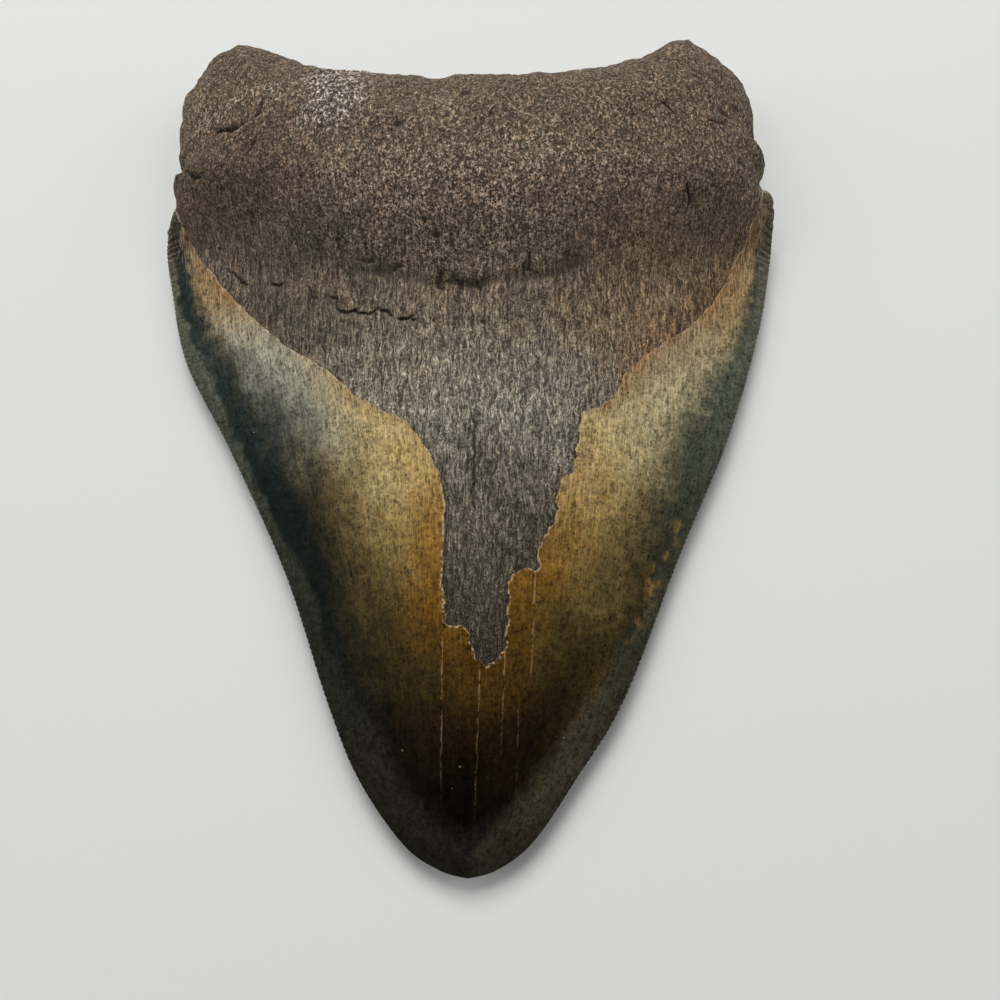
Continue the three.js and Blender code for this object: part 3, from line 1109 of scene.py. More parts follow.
    def close(self) -> None:
        """Builds both faces on the shared rim: places, triangles and what each belongs to."""
        self.lay_rim()
        count = len(self.rim)
        places = [np.column_stack([self.rim, self.form.rim_height(self.rim[:, 1])])]
        sides = [np.zeros(count)]
        triangles = []
        finishes = []
        start = count
        for face in Face:
            plan, corners = self.lay_face(face)
            inner = plan[count:]
            places.append(np.column_stack([inner, self.face_height(face, inner)]))
            sides.append(np.full(len(inner), float(face.value)))
            finishes.append(self.finish_of(face, plan[corners].mean(axis=1)))
            corners = np.where(corners >= count, corners - count + start, corners)
            triangles.append(corners if face is Face.TONGUE else corners[:, ::-1])
            start += len(inner)
        self.places = np.vstack(places)
        self.side = np.concatenate(sides)
        self.triangles = np.vstack(triangles)
        self.finish = np.concatenate(finishes)

    def finish_of(self, face: Face, middles: np.ndarray) -> np.ndarray:
        """Material index of each triangle, by its middle in plan."""
        border = self.border[face]
        signed = border.height_over(middles)
        finish = np.where(signed > 0.0, Finish.ENAMEL.value, Finish.BONE.value)
        wall = (signed <= 0.0) & (signed > -0.8 * border.wall)
        wall &= border.to_end(middles) > 1.2
        return np.where(wall, Finish.BREAK.value, finish)

    def normals(self) -> np.ndarray:
        """Unit normal of each vertex, outwards, weighted by the triangles' areas."""
        corners = self.places[self.triangles]
        facing = np.cross(corners[:, 1] - corners[:, 0], corners[:, 2] - corners[:, 0])
        total = np.zeros_like(self.places)
        for corner in range(3):
            np.add.at(total, self.triangles[:, corner], facing)
        return total / np.maximum(np.linalg.norm(total, axis=1), 1e-12)[:, None]

    def roughen(self) -> None:
        """Pushes the surface out and in by its bumps, pits and cracks, and measures the marks."""
        plan = self.places[:, :2]
        self.signed = self.border[Face.TONGUE].height_over(plan)
        lip = self.side < 0
        self.signed[lip] = self.border[Face.LIP].height_over(plan[lip])
        height = np.zeros(len(plan))
        for face, rows in ((Face.TONGUE, ~lip), (Face.LIP, lip)):
            height[rows] = self.bumps(face, self.places[rows], self.signed[rows])
        self.from_edge, self.along_edge = nearest_on_line(plan, self.blade)
        near = (self.from_edge < 2.0) & (plan[:, 1] < self.form.shoulder_start)
        notch = np.zeros(len(plan))
        line = np.vstack([self.rim, self.rim[:1]])
        notch[near] = self.from_edge[near] - distance_to_line(plan[near], line)
        self.notch = np.clip(notch / self.notch_depth, 0.0, 1.0) * np.exp(-self.from_edge / 0.8)
        self.notch[self.side == 0] = 0.0
        height -= 0.08 * self.notch
        self.places += self.normals() * height[:, None]
        self.places[:, 2] = np.maximum(self.places[:, 2], 0.0)

    def marks(self) -> dict[str, np.ndarray]:
        """What the finishes read at each vertex, by attribute name."""
        plan = self.places[:, :2]
        return {
            "from_tip": plan[:, 1],
            "from_edge": self.from_edge,
            "along_edge": self.along_edge,
            "from_border": self.signed,
            "across": self.form.across(plan)[1],
            "root_share": self.form.root_share(plan),
            "lip_side": np.where(self.side < 0, 1.0, 0.0),
            "opening_shade": self.painted_shade_in_openings(),
            "pitted": self.root.pitted.strength(plan) * (self.side > 0),
            "notch": self.notch,
        }

    def painted_shade_in_openings(self) -> np.ndarray:
        """Share of painted shade at each vertex, from 0 to 1: in cracks and pits, in the shaded hollow of the
        groove, and in a thin line below the foot edge's step.
        """
        plan = self.places[:, :2]
        strayed = self.strayed(plan)
        lip = self.side < 0
        deep = np.zeros(len(plan))
        for rows, marks in (
            (~lip, (*self.root.cracks, *self.root.pits)),
            (lip, (*self.root.lip_cracks, *self.root.lip_pits)),
        ):
            for mark in marks:
                strength = mark.strength(strayed[rows]) * min(0.6 + mark.depth, 1.0)
                deep[rows] = np.maximum(deep[rows], strength)
        # Painted shadow along the groove.
        groove = self.root.groove_shade * self.root.foot_groove.strength(strayed)
        deep = np.where(lip, deep, np.maximum(deep, groove))
        # Painted shadow in a thin line below the foot edge's step.
        foot_edge = self.root.foot_edge
        below = foot_edge.height_over(plan[~lip]) + 0.2
        shade = 0.9 * np.exp(-((below / 0.3) ** 2)) * foot_edge.presence(plan[~lip])
        deep[~lip] = np.maximum(deep[~lip], shade)
        return deep

    def build(self, name: str, low: Vector) -> bpy.types.Object:
        """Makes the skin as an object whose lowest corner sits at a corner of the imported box.

        Args:
            name: Name of the piece.
            low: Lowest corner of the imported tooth, in metres.

        Returns:
            The tooth, with its marks as attributes and its finishes as material indices.
        """
        self.close()
        self.roughen()
        mesh = bpy.data.meshes.new(name)
        shift = np.array([-self.form.left_edge[:, 0].min(), 0.0, 0.0])
        metres = (self.places + shift) * MM + np.array(low)
        mesh.from_pydata(metres.tolist(), [], self.triangles.tolist())
        mesh.polygons.foreach_set("material_index", self.finish.astype(np.int32))
        mesh.polygons.foreach_set("use_smooth", np.ones(len(self.triangles), dtype=bool))
        mesh.update()
        mesh.set_sharp_from_angle(angle=math.radians(self.sharp_angle))
        for key, values in self.marks().items():
            attribute = mesh.attributes.new(key, "FLOAT", "POINT")
            attribute.data.foreach_set("value", values.astype(np.float32))
        tooth = bpy.data.objects.new(name, mesh)
        bpy.context.scene.collection.objects.link(tooth)
        return tooth


# ---------------------------------------------------------------------------------------------
# Laying shader nodes
# ---------------------------------------------------------------------------------------------


def linear(colour: Colour) -> tuple[float, float, float, float]:
    """A colour of 0 to 255 per channel as Blender's linear red, green, blue and alpha."""
    shares = [channel / 255.0 for channel in colour]
    return (*(c / 12.92 if c <= 0.04045 else ((c + 0.055) / 1.055) ** 2.4 for c in shares), 1.0)


class Bench:
    """Lays and joins the nodes of one node tree."""

    def __init__(self, tree: bpy.types.NodeTree) -> None:
        """Works on the given tree."""
        self.tree = tree

    def node(self, kind: str, **settings: object) -> bpy.types.Node:
        """Adds a node and sets its properties."""
        node = self.tree.nodes.new(kind)
        for key, value in settings.items():
            setattr(node, key, value)
        return node

    def feed(self, socket: Socket, value: Union[Socket, float, Sequence[float]]) -> None:
        """Joins a socket to another one, or gives it a plain value."""
        if isinstance(value, bpy.types.NodeSocket):
            self.tree.links.new(value, socket)
        else:
            socket.default_value = value

    def maths(self, operation: str, first: Value, second: Value = 0.0, third: Value = 0.0) -> Socket:
        """Result of one arithmetic operation."""
        node = self.node("ShaderNodeMath", operation=operation)
        for socket, value in zip(node.inputs, (first, second, third)):
            self.feed(socket, value)
        return node.outputs[0]

    def product(self, *values: Value) -> Socket:
        """All values multiplied together."""
        total = values[0]
        for value in values[1:]:
            total = self.maths("MULTIPLY", total, value)
        return total

    def highest(self, *values: Value) -> Socket:
        """The highest of the values."""
        total = values[0]
        for value in values[1:]:
            total = self.maths("MAXIMUM", total, value)
        return total

    def nudged(self, value: Socket, noise: Socket, reach: float) -> Socket:
        """A value pushed up and down by a noise of 0 to 1, by at most half the reach."""
        return self.maths("ADD", value, self.maths("MULTIPLY_ADD", noise, reach, -reach / 2.0))

    def mask(self, value: Value, low: Value, high: Value, top: float = 1.0) -> Socket:
        """Smooth step from 0 where the value is low to top where it is high."""
        node = self.node("ShaderNodeMapRange", interpolation_type="SMOOTHSTEP")
        for name, given in (("Value", value), ("From Min", low), ("From Max", high), ("To Max", top)):
            self.feed(node.inputs[name], given)
        return node.outputs["Result"]

    def band(self, value: Value, edges: Sequence[float], top: float = 1.0) -> Socket:
        """Mask that rises between the first two edges and falls between the last two."""
        rise = self.mask(value, edges[0], edges[1], top)
        return self.product(rise, self.mask(value, edges[3], edges[2]))

    def mix(self, share: Value, first: object, second: object, way: str = "MIX") -> Socket:
        """Blend of two colours.

        Args:
            share: 0 for the first colour, 1 for the second.
            first: A socket or a colour of 0 to 255.
            second: A socket or a colour of 0 to 255.
            way: Blender's name for the way of blending.

        Returns:
            The blended colour.
        """
        node = self.node("ShaderNodeMix", data_type="RGBA", blend_type=way)
        self.feed(node.inputs["Factor"], share)
        for socket, value in ((node.inputs[6], first), (node.inputs[7], second)):
            self.feed(socket, value if isinstance(value, bpy.types.NodeSocket) else linear(value))
        return node.outputs[2]

    def between(self, share: Value, first: Value, second: Value) -> Socket:
        """Blend of two values."""
        node = self.node("ShaderNodeMix", data_type="FLOAT")
        for index, value in enumerate((share, None, first, second)):
            if value is not None:
                self.feed(node.inputs[index], value)
        return node.outputs[0]

    def colours_along(self, value: Socket, stops: Sequence[tuple[float, Colour]]) -> Socket:
        """Colour that changes along a value.

        Args:
            value: Where to read the colour.
            stops: Places along the value and their colours.

        Returns:
            The colour.
        """
        low, high = stops[0][0], stops[-1][0]
        node = self.node("ShaderNodeValToRGB")
        ramp = node.color_ramp
        while len(ramp.elements) < len(stops):
            ramp.elements.new(0.5)
        for element, (place, colour) in zip(ramp.elements, stops):
            element.position = (place - low) / (high - low)
            element.color = linear(colour)
        share = self.maths("MULTIPLY_ADD", value, 1.0 / (high - low), -low / (high - low))
        self.feed(node.inputs[0], share)
        return node.outputs["Color"]

    def scaled(self, place: Socket, scale: Union[Socket, Sequence[float]]) -> Socket:
        """A place with its axes multiplied."""
        node = self.node("ShaderNodeVectorMath", operation="MULTIPLY")
        self.feed(node.inputs[0], place)
        self.feed(node.inputs[1], scale)
        return node.outputs[0]

    def divided(self, place: Socket, size: Socket) -> Socket:
        """A place measured in cells of a given size."""
        cells = self.node("ShaderNodeVectorMath", operation="SCALE")
        self.feed(cells.inputs[0], place)
        self.feed(cells.inputs["Scale"], self.maths("DIVIDE", 1.0, size))
        return cells.outputs[0]

    def noise(self, place: Socket, cell: Sequence[float], detail: float = 2.0, rough: float = 0.5) -> Socket:
        """Smooth noise from 0 to 1.

        Args:
            place: Place in millimetres.
            cell: Size of the noise along each axis, in millimetres.
            detail: How many finer layers there are.
            rough: Share of each finer layer.

        Returns:
            The noise.
        """
        node = self.node("ShaderNodeTexNoise")
        self.feed(node.inputs["Vector"], self.scaled(place, [1.0 / size for size in cell]))
        node.inputs["Scale"].default_value = 1.0
        node.inputs["Detail"].default_value = detail
        node.inputs["Roughness"].default_value = rough
        return node.outputs["Fac"]

    def mark(self, name: str) -> Socket:
        """A value that the skin carries at each vertex."""
        return self.node("ShaderNodeAttribute", attribute_name=name).outputs["Fac"]

    def place(self) -> Socket:
        """Place on the tooth in millimetres."""
        place = self.node("ShaderNodeTexCoord").outputs["Object"]
        return self.scaled(place, (1000.0, 1000.0, 1000.0))

    def placed(self, tree: bpy.types.NodeTree, **values: object) -> bpy.types.NodeOutputs:
        """Places a node group and gives its inputs their values.

        Args:
            tree: The node group.
            values: Inputs by name, with _ for a space.

        Returns:
            The outputs of the placed group.
        """
        node = self.node("ShaderNodeGroup")
        node.node_tree = tree
        for key, value in values.items():
            self.feed(node.inputs[key.replace("_", " ")], value)
        return node.outputs

    def weighted(self, start: Value, *parts: tuple[Value, float]) -> Socket:
        """A start value plus each given value times its weight."""
        total = start
        for value, weight in parts:
            total = self.maths("MULTIPLY_ADD", value, weight, total)
        return total

    def grey(self, value: Socket) -> Socket:
        """A value as a grey colour."""
        node = self.node("ShaderNodeCombineColor")
        for socket in node.inputs:
            self.feed(socket, value)
        return node.outputs[0]

    def raised(self, height: Socket) -> Socket:
        """Normal of a surface raised by a height in millimetres."""
        node = self.node("ShaderNodeBump")
        node.inputs["Strength"].default_value = 1.0
        node.inputs["Distance"].default_value = MM
        self.feed(node.inputs["Height"], height)
        return node.outputs["Normal"]


class Effects:
    """Surface effects that the finishes are made with, each a node group built once."""

    def __init__(self) -> None:
        """Builds every effect."""
        self.grain = self._grain()
        self.growth_lines = self._growth_lines()
        self.mottling = self._mottling()
        self.specks = self._specks()

    @staticmethod
    def _start(
        name: str, inputs: dict[str, float], outputs: Sequence[str]
    ) -> tuple[bpy.types.NodeTree, Bench, dict[str, Socket], bpy.types.Node]:
        """Starts a group whose first input is the place in millimetres.

        Args:
            name: Name of the group.
            inputs: Further inputs and their usual values.
            outputs: Names of the outputs.

        Returns:
            The group, a bench on it, its inputs by name, and its output node.
        """
        tree = bpy.data.node_groups.new(name, "ShaderNodeTree")
        tree.interface.new_socket("Place", in_out="INPUT", socket_type="NodeSocketVector")
        for key, usual in inputs.items():
            socket = tree.interface.new_socket(key, in_out="INPUT", socket_type="NodeSocketFloat")
            socket.default_value = usual
        for key in outputs:
            tree.interface.new_socket(key, in_out="OUTPUT", socket_type="NodeSocketFloat")
        bench = Bench(tree)
        given = {socket.name: socket for socket in bench.node("NodeGroupInput").outputs if socket.name}
        return tree, bench, given, bench.node("NodeGroupOutput")

    def _grain(self) -> bpy.types.NodeTree:
        """Mineral grain: coarse and fine sand with a few clear grains, and softer lumps."""
        tree, bench, given, out = self._start("Mineral grain", {"Size": 1.0}, ("Sand", "Grains", "Lumps"))
        cells = bench.divided(given["Place"], given["Size"])
        sand = bench.noise(cells, (1.1, 1.1, 1.1), 2.0, 0.85)
        bench.feed(out.inputs["Sand"], bench.mask(sand, 0.34, 0.66))
        jumble = bench.node("ShaderNodeTexVoronoi", feature="F1")
        jumble.inputs["Scale"].default_value = 2.3
        bench.feed(jumble.inputs["Vector"], cells)
        level = bench.node("ShaderNodeSeparateColor")
        bench.feed(level.inputs[0], jumble.outputs["Color"])
        bench.feed(out.inputs["Grains"], level.outputs[0])
        lumps = bench.noise(cells, (2.6, 3.0, 2.6), 1.0, 0.5)
        bench.feed(out.inputs["Lumps"], bench.mask(lumps, 0.3, 0.7))
        return tree

    def _growth_lines(self) -> bpy.types.NodeTree:
        """Growth lines along the tooth: short streaks, and thin long lines between them."""
        usual = {"Width": 0.3, "Length": 2.0, "Spacing": 1.2, "Sway": 0.0}
        tree, bench, given, out = self._start("Growth lines", usual, ("Streaks", "Lines"))
        push = bench.node("ShaderNodeCombineXYZ")
        bench.feed(push.inputs["X"], given["Sway"])
        moved = bench.node("ShaderNodeVectorMath", operation="ADD")
        bench.feed(moved.inputs[0], given["Place"])
        bench.feed(moved.inputs[1], push.outputs[0])
        shape = bench.node("ShaderNodeCombineXYZ")
        for axis, size in zip("XYZ", ("Width", "Length", "Length")):
            bench.feed(shape.inputs[axis], bench.maths("DIVIDE", 1.0, given[size]))
        streaks = bench.noise(bench.scaled(moved.outputs[0], shape.outputs[0]), (1.0, 1.0, 1.0), 1.0, 0.5)
        bench.feed(out.inputs["Streaks"], bench.mask(streaks, 0.26, 0.74))
        apart = bench.divided(bench.scaled(moved.outputs[0], (1.0, 0.03, 0.2)), given["Spacing"])
        level = bench.noise(apart, (1.15, 1.0, 1.0), 0.0, 0.5)
        off = bench.maths("ABSOLUTE", bench.maths("SUBTRACT", level, 0.5))
        bench.feed(out.inputs["Lines"], bench.mask(off, 0.055, 0.012))
        return tree

    def _mottling(self) -> bpy.types.NodeTree:
        """Soft uneven patches, drawn out along the tooth."""
        tree, bench, given, out = self._start("Mottling", {"Size": 8.0}, ("Patches",))
        cells = bench.divided(given["Place"], given["Size"])
        patches = bench.noise(cells, (1.0, 1.6, 1.0), 3.0, 0.6)
        bench.feed(out.inputs["Patches"], bench.mask(patches, 0.25, 0.75))
        return tree

    def _specks(self) -> bpy.types.NodeTree:
        """Scattered round specks in jumbled cells: some cells hold a pale one, some a dark one."""
        usual = {"Spacing": 1.0, "Radius": 0.15, "Pale Share": 0.2, "Dark Share": 0.2}
        tree, bench, given, out = self._start("Specks", usual, ("Pale", "Dark"))
        scatter = bench.node("ShaderNodeTexVoronoi", feature="F1")
        scatter.inputs["Scale"].default_value = 1.0
        bench.feed(scatter.inputs["Vector"], bench.divided(given["Place"], given["Spacing"]))
        level = bench.node("ShaderNodeSeparateColor")
        bench.feed(level.inputs[0], scatter.outputs["Color"])
        radius = bench.product(given["Radius"], bench.maths("ADD", level.outputs[1], 0.5))
        away = bench.product(scatter.outputs["Distance"], given["Spacing"])
        dot = bench.mask(away, radius, bench.product(radius, 0.4))
        pale = bench.maths("LESS_THAN", level.outputs[0], given["Pale Share"])
        above = bench.maths("SUBTRACT", 1.0, given["Dark Share"])
        dark = bench.maths("GREATER_THAN", level.outputs[0], above)
        bench.feed(out.inputs["Pale"], bench.product(dot, pale))
        bench.feed(out.inputs["Dark"], bench.product(dot, dark))
        return tree


# ---------------------------------------------------------------------------------------------
# Finishes
# ---------------------------------------------------------------------------------------------


def new_material(name: str) -> tuple[bpy.types.Material, Bench, bpy.types.Node]:
    """Starts a material.

    Args:
        name: Name of the finish.

    Returns:
        The material, a bench on its nodes, and its shader.
    """
    material = bpy.data.materials.new(name)
    material.use_nodes = True
    material.node_tree.nodes.clear()
    bench = Bench(material.node_tree)
    shader = bench.node("ShaderNodeBsdfPrincipled")
    output = bench.node("ShaderNodeOutputMaterial")
    bench.feed(output.inputs["Surface"], shader.outputs[0])
    return material, bench, shader


@dataclass(frozen=True)
class Seam:
    """One pale healed line in the enamel, along the tooth, from one height to another."""

    x: float
    lean: float
    low: float
    high: float
    width: float = 0.15
    strength: float = 0.7


@dataclass(frozen=True)
class Enamel:
    """Glossy enamel: blue-black along the edges, ochre by its border, dark brown to the tip."""

    name: str = "stained enamel"
    body: Sequence[tuple[float, Colour]] = (
        (0, (16, 11, 6)), (9, (10, 5, 2)), (16, (28, 17, 4)), (24, (42, 31, 9)), (31, (60, 50, 20)),
        (38, (88, 74, 38)), (45, (130, 109, 62)), (53, (163, 138, 84)), (61, (187, 165, 114)),
        (68, (192, 175, 128)), (76, (182, 166, 125)), (86, (164, 147, 108)), (96, (134, 114, 80)),
        (110, (112, 96, 74)),
    )
    by_border: Sequence[tuple[float, Colour]] = (
        (29, (76, 52, 16)), (36, (100, 70, 20)), (42, (124, 89, 32)), (48, (140, 105, 48)),
        (54, (158, 125, 68)), (61, (180, 152, 96)), (68, (188, 164, 112)), (76, (160, 134, 90)),
        (86, (148, 121, 78)), (97, (144, 118, 80)), (108, (122, 102, 75)), (116, (110, 95, 76)),
    )
    dark_band: Sequence[tuple[float, Colour]] = (
        (0, (8, 7, 5)), (8, (2, 3, 2)), (16, (2, 5, 5)), (26, (9, 16, 13)), (38, (14, 20, 15)),
        (52, (13, 20, 17)), (62, (14, 25, 23)), (72, (28, 38, 35)), (84, (40, 48, 42)),
        (98, (34, 40, 36)), (112, (52, 50, 41)),
    )
    right_band: Sequence[tuple[float, Colour]] = (
        (0, (14, 10, 5)), (12, (16, 13, 6)), (26, (38, 33, 15)), (38, (48, 41, 18)), (50, (44, 43, 28)),
        (62, (58, 63, 50)), (74, (69, 75, 63)), (86, (75, 79, 67)), (100, (77, 78, 65)),
        (112, (86, 81, 63)),
    )
    # Painted sheen: the grey-olive that the flange along both cutting edges takes, by height from the tip.
    flange: Sequence[tuple[float, Colour]] = (
        (0, (42, 39, 29)), (14, (58, 54, 41)), (34, (54, 54, 41)), (52, (60, 62, 50)),
        (70, (78, 81, 68)), (90, (98, 99, 84)), (118, (116, 108, 88)),
    )
    seams: Sequence[Seam] = (
        Seam(-3.7, 0.0, 8.0, 34.8, 0.2, 0.6),
        Seam(-4.1, 0.0, 34.0, 44.0, 0.16, 0.4),
        Seam(-0.9, 0.01, 20.0, 33.5, 0.16, 0.4),
        Seam(1.9, 0.035, 5.0, 28.9, 0.2, 0.5),
        Seam(5.6, 0.04, 14.0, 32.6, 0.2, 0.65),
        Seam(7.6, 0.03, 6.0, 24.0, 0.14, 0.25),
        Seam(10.2, 0.05, 22.0, 43.6, 0.22, 0.8),
        Seam(13.9, 0.02, 36.0, 48.6, 0.16, 0.45),
        Seam(18.8, 0.03, 38.0, 52.0, 0.14, 0.35),
        Seam(-6.6, 0.0, 30.0, 41.0, 0.15, 0.4),
        Seam(-10.5, -0.02, 34.0, 46.0, 0.14, 0.35),
    )
    rust: Colour = (140, 94, 50)
    # Painted sheen: pale blue-grey for a patch on the enamel.
    painted_sheen: Colour = (162, 164, 148)
    ochre: Colour = (150, 112, 60)
    pale_rib: Colour = (201, 184, 150)
    chipped: Colour = (196, 174, 142)
    seam_fill: Colour = (168, 134, 92)
    speck: Colour = (170, 160, 134)
    # Painted shade of the pinholes.
    hollow: Colour = (42, 31, 19)
    notch_shade: Colour = (30, 28, 22)
    seam_fade: float = 18.0
    roughness: float = 0.4

    def make(self, effects: Effects) -> bpy.types.Material:
        """Builds the material.

        Args:
            effects: The shared effects.

        Returns:
            The material.
        """
        material, bench, shader = new_material(self.name)
        place = bench.place()
        patches = bench.placed(effects.mottling, Place=place, Size=7.0)[0]
        sand, grains, lumps = bench.placed(effects.grain, Place=place, Size=0.9)
        sway = bench.maths("MULTIPLY_ADD", lumps, 0.3, -0.15)
        fanned = self._fanned(bench, place)
        streaks, lines = bench.placed(
            effects.growth_lines, Place=fanned, Width=0.22, Length=2.6, Spacing=0.8, Sway=sway
        )
        border = bench.mark("from_border")
        fibres, by_edge = self._edge_fibres(bench)
        streaks = bench.between(bench.product(by_edge, 0.6), streaks, fibres)
        lines = bench.product(
            lines,
            bench.weighted(0.25, (bench.mask(border, 16.0, 1.0), 0.45)),
            bench.weighted(-0.2, (streaks, 1.6)),
            bench.maths("SUBTRACT", 1.0, by_edge),
        )
        ribs = self._edge_ribs(bench)
        colour = self._stain(bench, patches, lumps)
        tone = bench.weighted(0.02, (streaks, 0.6), (lumps, 0.2), (sand, 0.5), (grains, 0.62))
        # Painted shade: the valleys between the ribs on the shoulders are darkened.
        tone = bench.product(tone, bench.weighted(1.0, (lines, -0.4)), bench.weighted(1.0, (ribs, -0.45)))
        colour = bench.mix(1.0, colour, bench.grey(tone), "MULTIPLY")
        colour = self._wear(bench, effects, place, colour, border, streaks, sand)
        bench.feed(shader.inputs["Base Color"], colour)
        gloss = bench.weighted(self.roughness - 0.14, (patches, 0.1), (sand, 0.14), (lines, 0.3))
        bench.feed(shader.inputs["Roughness"], gloss)
        shader.inputs["Specular IOR Level"].default_value = 0.06
        height = bench.weighted(0.0, (streaks, 0.03), (sand, 0.03), (lines, -0.04), (ribs, -0.16))
        bench.feed(shader.inputs["Normal"], bench.raised(height))
        return material

    @staticmethod
    def _fanned(bench: Bench, place: Socket) -> Socket:
        """The place with its lines along the tooth drawn together towards the tip, like its edges."""
        apart = bench.node("ShaderNodeSeparateXYZ")
        bench.feed(apart.inputs[0], place)
        joined = bench.node("ShaderNodeCombineXYZ")
        drawn = bench.weighted(0.0, (apart.outputs["X"], 0.5), (bench.mark("across"), 29.0))
        bench.feed(joined.inputs["X"], drawn)
        bench.feed(joined.inputs["Y"], apart.outputs["Y"])
        bench.feed(joined.inputs["Z"], apart.outputs["Z"])
        return joined.outputs[0]

    @staticmethod
    def _edge_fibres(bench: Bench) -> tuple[Socket, Socket]:
        """Fine fibres that meet the cutting edge square on, and where they show."""
        edge = bench.mark("from_edge")
        spot = bench.node("ShaderNodeCombineXYZ")
        bench.feed(spot.inputs["X"], bench.mark("along_edge"))
        bench.feed(spot.inputs["Y"], edge)
        fibres = bench.mask(bench.noise(spot.outputs[0], (0.3, 3.5, 1.0), 1.0, 0.5), 0.26, 0.74)
        shown = bench.product(bench.mask(edge, 4.5, 1.5), bench.mask(bench.mark("from_tip"), 62.0, 92.0))
        return fibres, shown

    @staticmethod
    def _edge_ribs(bench: Bench) -> Socket:
        """Mask of the valleys between the ribs that cross the edge high on both shoulders."""
        wave = bench.maths("SINE", bench.maths("MULTIPLY", bench.mark("along_edge"), 5.1))
        shown = bench.product(
            bench.mask(bench.mark("from_edge"), 3.6, 1.0), bench.mask(bench.mark("from_tip"), 99.0, 107.0)
        )
        return bench.product(bench.mask(wave, -0.4, 0.9), shown)

    def _stain(self, bench: Bench, patches: Socket, lumps: Socket) -> Socket:
        """The colours by place: dark bands along both edges, the body, ochre by the border, and painted sheen
        in a pale patch and on the flange along the cutting edges.
        """
        true_height = bench.mark("from_tip")
        from_tip = bench.nudged(true_height, patches, 7.0)
        edge = bench.nudged(bench.nudged(bench.mark("from_edge"), patches, 2.4), lumps, 0.8)
        right = bench.mask(bench.mark("across"), -0.25, 0.25)
        width = bench.maths("ADD", bench.band(from_tip, (22.0, 58.0, 60.0, 92.0), 7.5), 6.8)
        width = bench.product(width, bench.between(right, 1.0, 0.66))
        upper = bench.mask(true_height, 82.0, 100.0)
        width = bench.product(width, bench.between(upper, 1.0, 0.58))
        dark = bench.mask(
            bench.maths("DIVIDE", edge, width),
            bench.between(upper, 1.8, 1.4),
            bench.between(upper, 0.35, 0.85),
        )
        band = bench.mix(
            right,
            bench.colours_along(from_tip, self.dark_band),
            bench.colours_along(from_tip, self.right_band),
        )
        border = bench.nudged(bench.mark("from_border"), patches, 2.4)
        body = bench.mix(
            bench.mask(border, 9.0, 1.5),
            bench.colours_along(from_tip, self.body),
            bench.colours_along(from_tip, self.by_border),
        )
        rusty = bench.product(
            bench.band(border, (-2.5, 0.2, 0.8, 2.8)),
            bench.mask(patches, 0.3, 0.75, 0.75),
            bench.band(true_height, (38.0, 78.0, 100.0, 112.0)),
            bench.between(right, 0.6, 1.0),
        )
        body = bench.mix(rusty, body, self.rust)
        # Painted sheen: a pale blue-grey patch some way in from the edge, half way up the crown, mostly on
        # the left.
        painted_sheen_share = bench.product(
            bench.band(true_height, (58.0, 70.0, 82.0, 96.0)),
            bench.band(edge, (3.5, 9.0, 14.0, 24.0), 0.75),
            bench.between(right, 1.0, 0.25),
        )
        body = bench.mix(painted_sheen_share, body, self.painted_sheen)
        colour = bench.mix(dark, body, band)
        colour = bench.mix(self._edge_ochre(bench, true_height, edge, right, lumps), colour, self.ochre)
        # Painted sheen on the flange along both cutting edges, widest towards the tip.
        reach = bench.between(bench.mask(true_height, 8.0, 44.0), 7.4, 2.9)
        reach = bench.product(reach, bench.between(upper, 1.0, 0.55))
        outer = bench.mask(bench.maths("DIVIDE", edge, reach), 1.1, 0.5)
        low_down = bench.between(right, 0.4, 0.9)
        outer = bench.product(outer, bench.between(bench.mask(true_height, 30.0, 60.0), low_down, 0.9))
        return bench.mix(outer, colour, bench.colours_along(from_tip, self.flange))

    @staticmethod
    def _edge_ochre(
        bench: Bench, height: Socket, edge: Socket, right: Socket, lumps: Socket
    ) -> Socket:
        """Mask of the ochre marks along the right edge: broken ones half way up, a faint one low down."""
        marks = bench.product(
            bench.band(height, (31.0, 37.0, 50.0, 57.0)),
            bench.band(edge, (0.3, 1.0, 2.2, 4.4)),
            bench.mask(lumps, 0.3, 0.9, 0.6),
        )
        low = bench.product(
            bench.band(height, (7.0, 12.0, 24.0, 34.0)),
            bench.band(edge, (1.5, 3.0, 4.0, 6.0), 0.16),
        )
        return bench.product(bench.highest(marks, low), right)

    def _wear(
        self,
        bench: Bench,
        effects: Effects,
        place: Socket,
        colour: Socket,
        border: Socket,
        streaks: Socket,
        sand: Socket,
    ) -> Socket:
        """Pale seams, ribs and chips by the border, pale specks, and painted shade in pinholes and in the
        serration notches.

        Args:
            bench: Bench of the material.
            effects: The shared effects.
            place: Place in millimetres.
            colour: Colour of the enamel before its wear.
            border: Distance to the enamel's border.
            streaks: Short streaks along the tooth.
            sand: Fine grain.

        Returns:
            The colour with its wear.
        """
        ribs = bench.product(bench.mask(border, 6.5, 0.3), bench.mask(streaks, 0.5, 1.0, 0.42))
        ribs = bench.product(ribs, bench.mask(bench.mark("from_tip"), 44.0, 60.0))
        colour = bench.mix(ribs, colour, self.pale_rib)
        pale, dark = bench.placed(
            effects.specks, Place=place, Spacing=1.1, Radius=0.13, Pale_Share=0.03, Dark_Share=0.5
        )
        # Dark specks: painted shade of pinholes, most of them near the border.
        dark = bench.product(dark, bench.mask(border, 14.0, 1.0, 0.8))
        colour = bench.mix(dark, colour, self.hollow)
        colour = bench.mix(bench.product(pale, 0.7), colour, self.speck)
        colour = bench.mix(self._seam_mask(bench, streaks, sand), colour, self.seam_fill)
        # Painted shade in the notches between the serrations.
        colour = bench.mix(bench.product(bench.mark("notch"), 0.7), colour, self.notch_shade)
        chip = bench.product(bench.mask(border, 0.34, 0.08), bench.mask(sand, 0.35, 0.75, 0.75))
        chip = bench.product(chip, bench.weighted(0.4, (bench.mask(bench.mark("from_tip"), 84.0, 62.0), 0.6)))
        return bench.mix(chip, colour, self.chipped)

